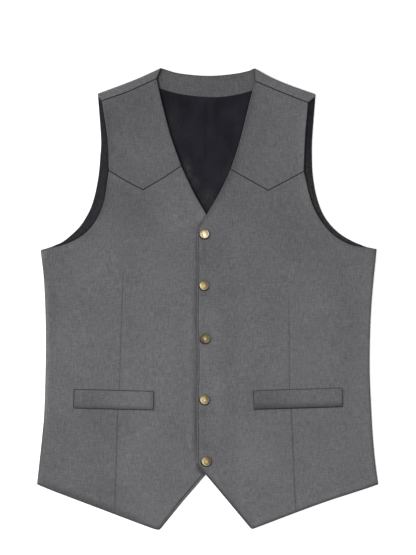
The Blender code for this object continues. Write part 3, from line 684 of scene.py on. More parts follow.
def makeBack(look):
    radius, share = layers["shoulderRadius"], look["shoulderShare"]
    armholes = [chain((cut["cornerShare"], sideSeams[side]), (1, edgeOf("backArmhole", side))) for side in signOf]

    def foldStart(side, t):
        return shoulderFolds[side](t) - np.array((0, radius))

    neck = curveThrough([foldStart("right", 1.0), *look["neck"], foldStart("left", 1.0)])
    top = chain((share, lambda t: foldStart("right", t)), (1 - share, neck),
                (1, lambda t: foldStart("left", 1 - np.asarray(t))))
    at = patch(hemBetween(*armholes), top, trimmed(armholes[0], top(0.0)), trimmed(armholes[1], top(1.0)))
    nearNeck = scaled(look["nearNeck"], look["tabLength"] / share)
    across = acrossBack(share, scaled(fineEdge, 0.5), nearNeck, look["columns"])
    shares = panelRows(look["rowsLow"], look["rowsHigh"], fineEdge, ())
    flat = at(across[:, None], shares[None, :])
    x, h, rows = flat[..., 0], flat[..., 1], flat.shape[1]
    sides = fromSides(flat)
    d = np.minimum(away(x, h, flat[::3, 0]), sides)
    lifted = rolled(d, *look["edgeRoll"]) - creased(x, h, look["creases"])[0]
    over, under = [onTable(flat, lifted)], [onTable(flat, np.full(d.shape, layers["backWall"]))]
    # the tab on each shoulder turns over the top and lies on the front, down to the shoulder seam
    isRight = across <= 0.5
    t = np.where(isRight, across, 1 - across) / share
    crest, seam = (np.where(isRight[:, None], lines["right"](t), lines["left"](t))
                   for lines in (shoulderFolds, shoulderSeams))
    seam = seam + np.array((0, layers["gap"]))
    tabSide = rolled(np.minimum(t, 1 - t) * look["tabSpan"], *look["tabSide"])
    turns = np.linspace(0, 1, look["foldRows"] + 1)[1:]
    tab = np.unique([*np.linspace(0, 1, look["tabRows"] + 1)[1:-1], *(1 - np.array(fineEdge) / 0.02), 1.0])
    for depth, skins in ((0.0, over), (layers["backWall"], under)):
        r = radius - depth
        for turned, beyond in [(math.pi * turn, 0.0) for turn in turns] + [(math.pi, part) for part in tab]:
            bend = crest - np.stack([0 * t, np.full_like(t, radius - r * math.sin(turned))], -1)
            point = mix(bend, seam, beyond)
            edge = np.maximum(tabSide, rolled(np.hypot(*(point - seam).T), *look["tabSeam"]))
            z = radius - r * math.cos(turned) + (edge * math.cos(turned) if depth == 0 else 0)
            skins.append(onTable(point, z + 0 * t)[:, None])
    over, under = np.concatenate(over, 1), np.concatenate(under, 1)
    keep = np.ones((len(across) - 1, over.shape[1] - 1), bool)
    mid = (across[1:] + across[:-1]) / 2
    keep[(mid > share) & (mid < 1 - share), rows - 1:] = False
    # painted shade on the armhole rims, beside the neck on the tabs and by the shoulder seam
    shade = np.zeros(over.shape[:2])
    rim, reach, low, high = look["armRim"]
    shade[:, :rows] = rim * smooth(1.6 - 1.6 * sides / reach) * ease(h, low, high)
    darkness, reachRight, reachLeft = look["tabShade"]
    beside = fading((1 - t) * look["tabLength"], darkness, np.where(isRight, reachRight, reachLeft))
    shade[:, rows:] = beside[:, None]
    last = len(look["seamShade"])
    shade[:, -last:] = np.maximum(shade[:, -last:], look["seamShade"])
    piece = clothPiece("backPanel", over, under, shade, keep=keep)
    finishPiece(piece, suiting, "suiting", "back")
    return piece, cellArea(flat) + 2 * look["tabLength"] * look["tabDepth"]


back, backArea = makeBack(backLook)
print("back laid")

liningLook = {
    "flat": (0.4936, 0.5695), "columns": (26, 84), "rowsLow": 36, "rowsHigh": 84,
    "insetSide": 0.009, "insetUnderarm": 0.018, "insetArmhole": 0.0008, "hemTurn": 0.028, "facingShare": 0.25,
    "shoulder": (0.649, 0.1641, 0.6502, 0.1606), "edgeRoll": (0.001, 0.0008),
    # pleat at the centre back, then wrinkles, in the same form as the creases of the fronts
    "creases": [(((-0.002, 0.647), (-0.003, 0.6), (-0.0042, 0.55)), 0.0022, 0.00014, 0.15, 0.3),
                (((0.006, 0.644), (0.004, 0.59), (0.0, 0.53)), 0.003, -0.00012, 0.3, 0),
                (((-0.031, 0.528), (-0.025, 0.535), (-0.018, 0.523)), 0.0026, -0.00035, 0.35, 0),
                (((-0.02, 0.518), (-0.012, 0.524), (-0.006, 0.51)), 0.0022, -0.0003, 0.35, 0),
                (((-0.055, 0.625), (-0.042, 0.6), (-0.033, 0.57)), 0.006, 0.00025, 0.35, 0),
                (((0.05, 0.63), (0.04, 0.6), (0.036, 0.57)), 0.007, 0.0003, 0.35, 0),
                (((0.015, 0.635), (0.022, 0.61), (0.02, 0.58)), 0.005, 0.0002, 0.35, 0)],
    "neckLine": {"right": 0.95, "left": 0.42},  # painted shadow under each neck edge: darkness
    "neckFoot": (0.35, 0.51, 0.56),  # share of it left at the foot of the neck, and between which heights it grows
    "neckSunk": {"depth": 0.0, "halfWidth": 0.0027, "shade": 1.0, "passes": ((0.0075, 1), (0.005, 1))},
    # painted sheen and painted shade in the neck: x, height, reach each way, share of the old cloth left
    "lighter": ((-0.032, 0.539, 0.013, 0.024, 0.16), (-0.019, 0.521, 0.01, 0.015, 0.42),
                (0.0, 0.495, 0.019, 0.027, 0.5), (0.031, 0.528, 0.012, 0.026, 0.5),
                (-0.05, 0.613, 0.013, 0.04, 0.76), (-0.0289, 0.534, 0.0055, 0.008, 0.4)),
    "darker": ((0.02, 0.639, 0.026, 0.014, 0.7), (0.0125, 0.62, 0.007, 0.03, 0.75),
               (0.037, 0.57, 0.009, 0.016, 0.8)),
    "fineSide": (*fineEdge[:-1], 0.0022, 0.0028, 0.0034, 0.004, 0.0048, 0.0058, 0.0072, 0.009, 0.011, 0.013),
    # painted light in the armholes, as a greyer cloth: level low down and up by the shoulder, between which heights,
    # and from how far out
    "wornAndPaintedLight": {"right": (0.42, 0.31), "left": (1.0, 0.26)}, "paintedLightHeights": (0.49, 0.59), "armFrom": 0.1,
    "armShade": (0.7, 0.0013, 0.0026),  # painted shade: darkness and reach of the line at the outer edge, then how far the front's painted shadow reaches
    "armStitch": (0.55, 0.0034, 0.0005),  # on the left: darkness, distance from the edge, half width
}
facingFoot = curveThrough([(-0.086, 0.666), (-0.042, 0.6535), (0.005, 0.6486), (0.042, 0.652), (0.086, 0.664)])


def makeLining(look):
    def insetEdge(side):
        def inset(row, by):
            return place(row, side) - np.array((signOf[side] * by, 0))

        seam = [inset(row, look["insetSide"]) for row in cut["sideSeam"]]
        seam[0][1] += look["hemTurn"]
        seam[-1] = inset(cut["sideSeam"][-1], look["insetUnderarm"])
        scye = [inset(row, look["insetArmhole"]) for row in cut["backArmhole"][1:-1]]
        high = curveThrough([seam[-1], *scye, place(look["shoulder"], side)])
        return chain((cut["cornerShare"], curveThrough(seam)), (1, high))

    start, end = insetEdge("right"), insetEdge("left")
    part = look["facingShare"]
    top = chain((part, curveThrough([start(1.0), facingFoot(0.0)])), (1 - part, facingFoot),
                (1, curveThrough([facingFoot(1.0), end(1.0)])))
    foot = hemBetween(start, end, look["hemTurn"])
    at = patch(foot, lambda u: top(u) - np.array((0, layers["gap"])), start, end)
    across = acrossBack(part, scaled(look["fineSide"], 0.45), (), look["columns"])
    grid = at(across[:, None], panelRows(look["rowsLow"], look["rowsHigh"], (), fineEdge)[None, :])
    x, h = grid[..., 0], grid[..., 1]
    d = fromSides(grid)
    folds, dark = creased(x, h, look["creases"])
    over = liningLevel + layers["liningWall"] - rolled(d, *look["edgeRoll"]) + folds
    darkness, line, reach = look["armShade"]
    # painted shade along the edges, in the creases and in darker places; painted sheen in lighter places
    shade = np.maximum.reduce([fading(d, darkness, line), dark, 1 - faded(x, h, look["darker"])])
    wornAndPaintedLight = 1 - faded(x, h, look["lighter"])
    # painted shadow beside the fronts' armhole edges, and painted light in the armholes
    for side, sign in signOf.items():
        arm = fromEdges(x, h, side, ("armholeLow", "armholeHigh"), 17)
        shade = np.maximum(shade, fading(arm, darkness, reach))
        grey = mix(*look["wornAndPaintedLight"][side], ease(h, *look["paintedLightHeights"]))
        wornAndPaintedLight = np.where(sign * x > look["armFrom"], grey, wornAndPaintedLight)
    darkness, offset, halfWidth = look["armStitch"]
    stitched = np.maximum(shade, darkness * bell(d - offset, halfWidth))
    shade = np.where(x > look["armFrom"], stitched, shade)

    # distance from the neck edges, and the darkness of the painted shadow there: least at the foot of the neck
    def underNeck(px, ph):
        share, low, high = look["neckFoot"]
        grown = mix(share, 1, ease(ph, low, high))
        far = {side: fromEdges(px, ph, side, ("neckLow", "neckHigh"), 25) for side in signOf}
        return nearest([(far[side], look["neckLine"][side] * grown) for side in signOf])

    # a painted shadow line under the neck edges, with no drop
    sunk = [{**look["neckSunk"], "near": underNeck}]
    return laySheet("backLining", satin, "lining", "back_lining", grid, over, liningLevel, shade, wornAndPaintedLight, sunk)


lining, liningArea = makeLining(liningLook)

facingLook = {
    "flat": (0.172, 0.044), "columns": 180, "rows": 26, "rowUnit": 0.034, "end": (0.682, 0.084, 0.6815, 0.084),
    "edge": ((-0.0732, 0.6902), (-0.0706, 0.6923), (-0.0682, 0.6917), (-0.063, 0.69), (-0.0476, 0.6855),
             (-0.0244, 0.6823), (0.0019, 0.6808), (0.0259, 0.6822), (0.0484, 0.6852), (0.0625, 0.6886),
             (0.0676, 0.6911), (0.07, 0.6916), (0.0726, 0.6896)),
    "creases": [(((0.03, 0.678), (0.038, 0.668), (0.042, 0.656)), 0.005, 0.00025, 0.4, 0),
                (((-0.035, 0.678), (-0.033, 0.666), (-0.03, 0.656)), 0.006, 0.0002, 0.4, 0)],
    # tone paints the whole facing in shade; neckLine paints shade along its top edge
    "tone": 0.765, "edgeRoll": (0.0011, 0.0011), "neckLine": (0.55, 0.0026),
    "tabShade": {"right": (0.9, 0.0036), "left": (0.38, 0.0026)},  # painted shadow in the corner beside each shoulder tab
}


def makeFacing(look):
    across = np.linspace(0, 1, look["columns"] + 1)
    up = spreadAll(0, 1, scaled(fineEdge, look["rowUnit"]), look["rows"])
    foot = facingFoot(across)
    top = curveThrough([place(look["end"], "right"), *look["edge"], place(look["end"], "left")])(across)
    grid = mix(foot[:, None], top[:, None], up[None, :, None])
    x, h = grid[..., 0], grid[..., 1]
    length = np.hypot(*(top - foot).T)[:, None]
    d = np.minimum(up, 1 - up) * length
    over = liningLevel + layers["facingWall"] - rolled(d, *look["edgeRoll"]) + creased(x, h, look["creases"])[0]
    # painted shade along the top edge and beside the shoulder tabs
    shade = fading((1 - up) * length, *look["neckLine"])
    for side, line in look["tabShade"].items():
        beside = [shoulderFolds[side](1.0), *edgeOf("neckHigh", side)(np.linspace(1, 0.7, 5))]
        shade = np.maximum(shade, fading(away(x, h, beside), *line))
    return laySheet("neckFacing", suiting, "suiting", "neck_facing", grid, over, liningLevel, shade, look["tone"])


facing, facingArea = makeFacing(facingLook)
print("lining and neck facing laid")

# welt pockets: centre, width, depth, tilt in degrees
welts = {"right": (-0.1408, 0.1948, 0.119, 0.0276, -1.4), "left": (0.1358, 0.1964, 0.1322, 0.0274, 1.7)}
# depth and painted shade of the line along the top, the foot, the left end and the right end, then how the foot deepens
# at the middle
weltLines = {"right": (0.62, 1.05, 1.0, 0.4), "left": (0.34, 1.2, 0.7, 0.25), "middle": (0.36, 0.035)}


# distance from the outline of a welt, and the depth and painted shade of the line there
def weltOutline(side, x, h):
    atX, atH, width, depth, tilt = welts[side]
    c, s = math.cos(math.radians(tilt)), math.sin(math.radians(tilt))
    along, up = (x - atX) * c + (h - atH) * s, (h - atH) * c - (x - atX) * s
    outX, outY = np.abs(along) - width / 2, np.abs(up) - depth / 2
    outside = np.hypot(np.maximum(outX, 0), np.maximum(outY, 0))
    top, foot, start, end = weltLines[side]
    more, reach = weltLines["middle"]
    foot = foot * (1 + more * bell(along, reach))
    weight = np.where(outX > outY, np.where(along < 0, start, end), np.where(up > 0, top, foot))
    return np.abs(outside + np.minimum(np.maximum(outX, outY), 0)), weight


# snap caps from the top down: x, height, tilt about x and y in degrees,
# dullness on the left, partly from age and partly painted shade, then painted highlight on the right and along the rim
snaps = {"snap_1": (-0.0048, 0.4436, -3, -3, 0.14, 1.0, 0.25), "snap_2": (-0.0051, 0.3664, 0, 2, 0.22, 0.18, 0.48),
         "snap_3": (-0.0035, 0.2867, 3, 1, 0.9, 0.16, 0.06), "snap_4": (-0.0044, 0.1952, -1, -2, 0.3, 0.16, 0.38),
         "snap_5": (-0.002, 0.1029, 0, -3, 0.4, 0.06, 0.4)}
pressRadius = 0.0077  # of the ring that each cap presses into the cloth


# distance from the ring of the nearest cap, and how deep the cloth is pressed and painted in shadow there: most below
# and to the left
def snapRing(x, h):
    rings = []
    for atX, atH, *_ in snaps.values():
        far = np.hypot(x - atX, h - atH)
        turn = (-0.28 * (x - atX) - 0.96 * (h - atH)) / np.maximum(far, 1e-6)
        rings.append((np.abs(far - pressRadius), 0.08 + 0.92 * smooth(0.45 + 0.75 * turn)))
    return nearest(rings)


frontLook = {
    "flat": {"right": (0.2668, 0.5458), "left": (0.2728, 0.5403)},
    "counts": {"right": (38, 26, 24), "left": (38, 26, 36)}, "rowsLow": 142, "rowsHigh": 58,
    "pointShare": 0.66, "dartShare": 0.42, "pointBlunt": {"right": 0.004, "left": 0.01}, "thinnest": 0.0002,
    "fineDart": (0.0003, 0.0008, 0.0016, 0.0028),
    "fineClosing": {"left": (*fineEdge[:4], 0.0015, 0.002, 0.0025, 0.003, 0.0036, 0.0046),
                    "right": (*fineEdge, 0.005, 0.009, 0.013, 0.017, 0.0205, 0.022, 0.0232, 0.0242, 0.025,
                              0.0256, 0.0261, 0.0266, 0.0271, 0.0276, 0.0281, 0.0286, 0.0292, 0.03, 0.031,
                              0.0322, 0.0336, 0.0352, 0.037)},
    "fineHem": (*fineEdge, 0.0038, 0.0048, 0.0056, 0.0064, 0.0072, 0.008, 0.0088, 0.01),
    # rolled edges: radius, depth
    "sideEdge": (0.0016, 0.0007), "hemEdge": (0.0018, 0.0014),
    "sideSlope": {"right": (0.01, 0.0009), "left": (0.006, 0.0)},
    "hemRoll": (0.0085, 0.0014, -0.262, -0.085), "hemRollShade": (0.58, 0.0135),  # beside the right dart, from x to x, with painted shade: darkness, reach
    "hemCurl": (0.018, 0.002),
    # shadows along edges: darkness, reach
    "hemLine": (0.8, 0.0026), "hemShade": {"right": 0.0078, "left": 0.0064}, "hemLevels": (0.6, 0.68),
    "lapLine": (0.45, 0.0018), "sideLine": {"right": (0.42, 0.0044), "left": (0.0, 0.0044)},
    "neckShade": {"right": (0.3, 0.008), "left": (0.26, 0.006)}, "neckFrom": {"right": 0.47, "left": 0.445},
    "armShade": {"right": (0.12, 0.0065), "left": (0.14, 0.01)},
    # where shapes and shadows fade: heights, or distances from the front point, the centre and the side
    "curlHeights": {"neck": (0.462, 0.487), "armhole": (0.425, 0.475)}, "neckEase": 0.028, "tipEase": (0.01, 0.03),
    "hemRollEase": 0.03, "hemCurlFrom": (0.01, 0.04), "hemCurlSide": 0.02, "grooveFoot": (0.098, 0.108),
    "grooveTop": (0.462, 0.452), "dartHeights": (0.17, 0.2), "sideHeights": (0.19, 0.14),
    # painted shade along the right cutaway, at its edge and in its stitched line: distances from its edge, levels there
    "cutawayLine": ((0, 0.0014, 0.0025, 0.0032, 0.0038, 0.0046, 0.0054, 0.0072),
                    (0.44, 0.26, 0.06, 0.4, 0.84, 0.42, 0.14, 0)),
    "dartLine": (0.001, 0.4, 0.26),  # painted shade in the dart: half width, darkness below the welt and above it
    "groove": (0.0025, 0.0006, 0.0005),  # edge stitching: distance from the closing edge, half width, depth
    # painted shade in the stitched groove, by height
    "grooveShade": ((0.2, 0.225, 0.235, 0.275, 0.29, 0.34, 0.365), (0.74, 0.6, 0.28, 0.28, 0.6, 0.6, 0.46)),
    "weltSunk": {"depth": 0.0011, "shade": 0.9, "passes": ((0.004, 2), (0.0014, 1))},
    "weltSunkHalf": {"right": 0.0007, "left": 0.001},
    "snapSunk": {"depth": 0.0005, "halfWidth": 0.0013, "shade": 0.98, "passes": ((0.004, 2), (0.002, 1))},
    # painted light low down and painted shade up the chest: from this height, to this one, levels there
    "tone": (0.1, 0.53, 1.02, 0.97),
    # patches of painted light and painted shade: x, height, reach each way, level
    "patches": {
        "right": [
            (-0.195, 0.1, 0.09, 0.085, 0.935), (-0.07, 0.25, 0.065, 0.2, 1.05), (-0.226, 0.35, 0.045, 0.09, 0.86),
            (-0.236, 0.125, 0.042, 0.11, 0.88), (-0.254, 0.125, 0.016, 0.1, 0.8), (-0.247, 0.385, 0.012, 0.028, 0.74),
            (-0.178, 0.441, 0.016, 0.015, 0.84), (-0.165, 0.168, 0.085, 0.045, 0.89), (-0.136, 0.497, 0.075, 0.072, 0.86),
            (-0.042, 0.47, 0.06, 0.05, 1.08), (-0.012, 0.47, 0.012, 0.013, 1.2), (-0.146, 0.528, 0.022, 0.022, 1.09),
            (-0.185, 0.055, 0.095, 0.045, 0.92), (-0.12, 0.418, 0.04, 0.035, 0.95), (-0.147, 0.285, 0.05, 0.1, 1.045),
            (-0.195, 0.218, 0.022, 0.022, 0.92), (-0.125, 0.155, 0.026, 0.036, 0.95), (-0.113, 0.034, 0.032, 0.03, 0.95)],
        "left": [
            (0.085, 0.44, 0.11, 0.1, 0.955), (0.195, 0.11, 0.085, 0.085, 0.945), (0.003, 0.415, 0.035, 0.045, 0.895),
            (-0.006, 0.3545, 0.011, 0.009, 0.86), (-0.006, 0.253, 0.015, 0.036, 1.11), (0.002, 0.13, 0.022, 0.06, 0.94),
            (0.055, 0.085, 0.055, 0.06, 1.08), (0.016, 0.216, 0.036, 0.038, 1.13), (-0.003, 0.178, 0.018, 0.016, 0.89),
            (-0.006, 0.126, 0.011, 0.013, 0.86), (0.125, 0.12, 0.04, 0.08, 0.93), (0.062, 0.215, 0.04, 0.06, 0.95),
            (0.11, 0.315, 0.08, 0.05, 0.95), (0.048, 0.303, 0.045, 0.036, 0.95), (0.144, 0.505, 0.022, 0.032, 1.09),
            (0.176, 0.431, 0.02, 0.013, 0.91), (0.042, 0.045, 0.022, 0.026, 1.06), (0.115, 0.385, 0.06, 0.035, 1.04),
            (0.235, 0.365, 0.045, 0.08, 1.07), (0.246, 0.27, 0.01, 0.17, 1.1), (0.04, 0.505, 0.05, 0.055, 0.93)]},
}


def frontCut(side, look):
    heights, widths, _, _ = darts[side]
    topH = heights[-1]
    sign, dartAt, pointAt, corner = signOf[side], look["dartShare"], look["pointShare"], cut["cornerShare"]
    closing = np.array((cut["centreFront"] - sign * cut["overlap"], cut["closingFoot"]))
    tip, yokeTip = place(cut["frontPoint"], side), place(cut["yokeArmSeam"][-1], side)
    start = chain((corner, sideSeams[side]), (1, edgeOf("armholeLow", side)))
    neck = edgeOf("neckLow", side)
    wander = [(closing[0] + inward, height) for height, inward in cut["lapWander"]] if side == "left" else []
    end = chain((corner, curveThrough([closing, *wander, neck(0.0)])), (1, neck))
    onHem = [place(cut[name], side) for name in ("hemNearSide", "hemMiddle", "hemNearPoint")]
    hem = curveThrough([start(0.0), *onHem, tip])
    cutaway = curveThrough([tip, *cut["cutaway"][side], closing])
    foot = blunted(chain((pointAt, hem), (1, cutaway)), pointAt, look["pointBlunt"][side])
    top = chain((pointAt, edgeOf("yokeArmSeam", side)), (1, edgeOf("yokeNeckSeam", side)))
    at = patch(foot, top, start, end)

    # share of the row at which the dart lies
    def dartShare(v):
        low, high = np.zeros_like(v), np.ones_like(v)
        for _ in range(26):
            middle = (low + high) / 2
            point = at(middle, v)
            line = sign * np.interp(point[..., 1], heights, widths)
            inside = (point[..., 0] - line) * sign > 0
            low, high = np.where(inside, middle, low), np.where(inside, high, middle)
        above = ease(at(low, v)[..., 1], topH, yokeTip[1])
        return np.where((v > 0) & (v < 1), mix(low, dartAt, above), dartAt)

    def warped(u, v):
        u, v = np.broadcast_arrays(np.asarray(u, float), np.asarray(v, float))
        line = dartShare(v)
        return at(np.where(u <= dartAt, u * line / dartAt, 1 - (1 - u) * (1 - line) / (1 - dartAt)), v)

    return warped


def makeFront(side, look):
    at = frontCut(side, look)
    isLap = float(side == "left")
    shares = panelRows(look["rowsLow"], look["rowsHigh"], look["fineHem"], fineEdge)
    marks = (0.0, look["dartShare"], look["pointShare"], 1.0)
    grid = layRows(at, shares, marks, (fineEdge, look["fineDart"], (), look["fineClosing"][side]), look["counts"][side])
    x, h = grid[..., 0], grid[..., 1]
    corner = int(np.argmin(np.abs(shares - cut["cornerShare"])))
    edges = (grid[0, :corner + 1:2], grid[0, corner::2], grid[-1, ::2], grid[-1, corner::2], grid[::2, 0], grid[::2, -1])
    seamSide, armhole, closing, neck, hem, yoke = (away(x, h, path) for path in edges)
    wall = frontWall(side, x, h)
    roll = np.maximum.reduce([rolled(seamSide, *look["sideEdge"]), rolled(hem, *look["hemEdge"]),
                              *[rolled(d, *edgeRoll) for d in (armhole, closing, yoke)]])
    roll = roll + rolled(seamSide, *look["sideSlope"][side])
    lift = 0
    for name, d in (("neck", neck), ("armhole", armhole)):
        lift = lift + curled(name, d) * ease(h, *look["curlHeights"][name])
    fromTip = (x - place(cut["frontPoint"], side)[0]) * -signOf[side]
    nearTip, farTip = look["tipEase"]
    hemLevel = mix(*look["hemLevels"], ease(fromTip, 0, nearTip))
    hemDark = np.maximum(fading(hem, *look["hemLine"]), fading(hem, hemLevel, look["hemShade"][side]))
    if side == "right":  # painted shade along the stitched cutaway, and the hem rolls under beside the dart with painted shade
        hemDark = mix(hemDark, np.interp(hem, *look["cutawayLine"]), ease(fromTip, 0, farTip))
        reach, depth, low, high = look["hemRoll"]
        here = ease(x, low, low + look["hemRollEase"]) * ease(x, high, high - look["hemRollEase"])
        roll = roll + rolled(hem, reach, depth) * here
        darkness, reach = look["hemRollShade"]
        hemDark = np.maximum(hemDark, darkness * here * np.clip(1 - hem / reach, 0, 1))
    else:  # the other hem stands up a little
        reach, rise = look["hemCurl"]
        here = ease(x, *look["hemCurlFrom"]) * ease(seamSide, 0, look["hemCurlSide"])
        lift = lift + rise * here * np.clip(1 - hem / reach, 0, 1) ** 2
    roll = np.minimum(roll, wall - look["thinnest"])
    heights, _, depth, fade = darts[side]
    halfWidth, *dartLevels = look["dartLine"]
    column = len(fineEdge) + look["counts"][side][0] + len(look["fineDart"])
    drawnIn = bell(np.hypot(x - x[column], h - h[column]), halfWidth) * smooth((heights[-1] - h) / fade)
    offset, halfWidth, sink = look["groove"]
    stitched = isLap * bell(closing - offset, halfWidth) * ease(h, *look["grooveFoot"]) * ease(h, *look["grooveTop"])
    folds, dark = creased(x, h, creases[side])
    under = frontUnder(side, x, h) + lift
    over = np.maximum(under + wall - roll - depth * drawnIn - sink * stitched + folds, under + look["thinnest"])
    neckFrom = look["neckFrom"][side]
    # painted shade along seams, edges, the lap, the dart, the groove and in creases
    shade = np.maximum.reduce([
        dark, hemDark, fading(yoke, *seamLine), fading(armhole, *armLine), isLap * fading(closing, *look["lapLine"]),
        mix(*dartLevels, ease(h, *look["dartHeights"])) * drawnIn, np.interp(h, *look["grooveShade"]) * stitched,
        fading(seamSide, *look["sideLine"][side]) * ease(h, *look["sideHeights"]),
        fading(armhole, *look["armShade"][side]),
        fading(neck, *look["neckShade"][side]) * ease(h, neckFrom, neckFrom + look["neckEase"])])
    # painted light and shade in the cloth's tone
    low, high, *levels = look["tone"]
    tone = mix(*levels, ease(h, low, high)) * faded(x, h, look["patches"][side])
    # sunk lines round the welts and the caps: the cloth drops and is painted with shade
    sunk = [{**look["weltSunk"], "halfWidth": look["weltSunkHalf"][side],
             "near": lambda px, ph: weltOutline(side, px, ph)}]
    if isLap:
        sunk.append({**look["snapSunk"], "near": snapRing})
    return laySheet(f"{side}Front", suiting, "suiting", f"front_{side}", grid, over, under, shade, tone, sunk)


fronts = {side: makeFront(side, frontLook) for side in signOf}
print("fronts laid")

yokeLook = {
    "flat": {"right": (0.1195, 0.1671), "left": (0.1175, 0.1644)}, "counts": (34, 34), "rows": 84, "rowUnit": 0.14,
    # tone and patches paint light and shade; neckLine and neckShade paint shade along the neck edge
    "tone": {"right": 0.835, "left": 0.925}, "shoulderEase": 0.022,
    "neckLine": (0.3, 0.0012), "neckShade": {"right": (0.2, 0.008), "left": (0.28, 0.005)},
    "patches": {"right": [(-0.13, 0.635, 0.06, 0.055, 0.93), (-0.078, 0.552, 0.06, 0.055, 1.12),
                          (-0.148, 0.548, 0.02, 0.024, 1.12)],
                "left": [(0.07, 0.62, 0.06, 0.06, 0.965), (0.12, 0.555, 0.05, 0.05, 1.03),
                         (0.138, 0.592, 0.018, 0.044, 1.09), (0.045, 0.545, 0.032, 0.032, 0.94)]},
}


def makeYoke(side, look):
    foot = chain((0.5, edgeOf("yokeArmSeam", side)), (1, edgeOf("yokeNeckSeam", side)))
    at = patch(foot, shoulderSeams[side], edgeOf("armholeHigh", side), edgeOf("neckHigh", side))
    shares = spreadAll(0, 1, scaled(fineEdge, look["rowUnit"]), look["rows"])
    grid = layRows(at, shares, (0.0, 0.5, 1.0), (fineEdge, (), fineEdge), look["counts"])
    grid[..., 1] += layers["gap"] * (1 - 2 * shares)[None, :]
    x, h = grid[..., 0], grid[..., 1]
    arm, neck, seam, shoulder = (away(x, h, path) for path in (grid[0], grid[-1], grid[:, 0], grid[:, -1]))
    roll = np.maximum.reduce([rolled(d, *edgeRoll) for d in (arm, neck, seam, shoulder)])
    folds, dark = creased(x, h, creases[side])
    lift = (curled("neck", neck) + curled("armhole", arm)) * ease(shoulder, 0, look["shoulderEase"])
    under = frontUnder(side, x, h) + lift
    over = under + frontWall(side, x, h) - roll + folds
    # painted shade along seams, edges and in creases, then painted light and shade in the tone
    shade = np.maximum.reduce([
        dark, fading(seam, *seamLine), fading(shoulder, *seamLine), fading(arm, *armLine),
        fading(neck, *look["neckLine"]), fading(neck, *look["neckShade"][side])])
    tone = look["tone"][side] * faded(x, h, look["patches"][side])
    return laySheet(f"{side}Yoke", suiting, "suiting", f"yoke_{side}", grid, over, under, shade, tone)


yokes = {side: makeYoke(side, yokeLook) for side in signOf}
print("yokes laid")

weltLook = {
    # tone and patches paint light and shade on each welt
    "columns": 96, "rows": 24, "edgeRoll": (0.001, 0.0013), "crown": 0.0003, "tone": {"right": 1.0, "left": 0.965},
    "lowerRoll": {"right": (0.006, 0.0006), "left": (0.009, 0.0009)},
    # shadows: darkness, reach
    "edgeLine": (0.5, 0.0005), "lowerShade": {"right": (0.48, 0.0062), "left": (0.58, 0.0095)},
    "startShade": {"right": (0.3, 0.0045), "left": (0.1, 0.0045)},
    "endStitch": {"right": 0.26, "left": 0.1}, "endStitchAt": (0.003, 0.0012),  # distance from the end, half width
    "patches": {"right": [(-0.186, 0.19, 0.055, 0.034, 0.87), (-0.1, 0.197, 0.035, 0.025, 1.05)],
                "left": [(0.08, 0.19, 0.055, 0.036, 0.82)]},
}


def makeWelt(side, look):
    atX, atH, width, depth, tilt = welts[side]
    c, s = math.cos(math.radians(tilt)), math.sin(math.radians(tilt))
    along = spreadAll(-width / 2, width / 2, fineEdge, look["columns"])
    up = spreadAll(-depth / 2, depth / 2, fineEdge, look["rows"])
    a, b = np.meshgrid(along, up, indexing="ij")
    grid = np.stack([atX + a * c - b * s, atH + a * s + b * c], -1)
    x, h = grid[..., 0], grid[..., 1]
    seat = frontTop(side, x, h) + layers["gap"]
    d = np.minimum(width / 2 - np.abs(a), depth / 2 - np.abs(b))
    fromFoot, fromStart, fromEnd = b + depth / 2, a + width / 2, width / 2 - a
    roll = rolled(d, *look["edgeRoll"]) + rolled(fromFoot, *look["lowerRoll"][side])
    crown = look["crown"] * (1 - (2 * b / depth) ** 2)
    over = seat + layers["weltWall"] - np.minimum(roll, layers["weltWall"]) + crown
    darkness, reach = look["lowerShade"][side]
    offset, halfWidth = look["endStitchAt"]
    # painted shade along the edges, below the foot and at the start; painted light and shade in the tone
    shade = np.maximum.reduce([
        fading(d, *look["edgeLine"]), darkness * np.clip(1 - fromFoot / reach, 0, 1),
        look["endStitch"][side] * bell(fromEnd - offset, halfWidth), fading(fromStart, *look["startShade"][side])])
    tone = look["tone"][side] * faded(x, h, look["patches"][side])
    return laySheet(f"{side}Welt", suiting, "suiting", f"welt_{side}", grid, over, seat, shade, tone)


weltPieces = {side: makeWelt(side, weltLook) for side in signOf}
print("welts laid")

snapLook = {
    "radius": 0.007, "undercut": 0.0004, "wall": 0.00035, "segments": 64,
    # rings from the rim inward: inset, rise
    "rings": ((0.0002, 0.00035), (0.0003, 0.0002), (0.0004, 0.00005), (0.0003, -0.00015),
              (0.0003, 0.00015), (0.0005, 0.00035), (0.0008, 0.00045), (0.0011, 0.00045),
              (0.0012, 0.00034), (0.0011, 0.00018), (0.0008, 0.00006)),
}


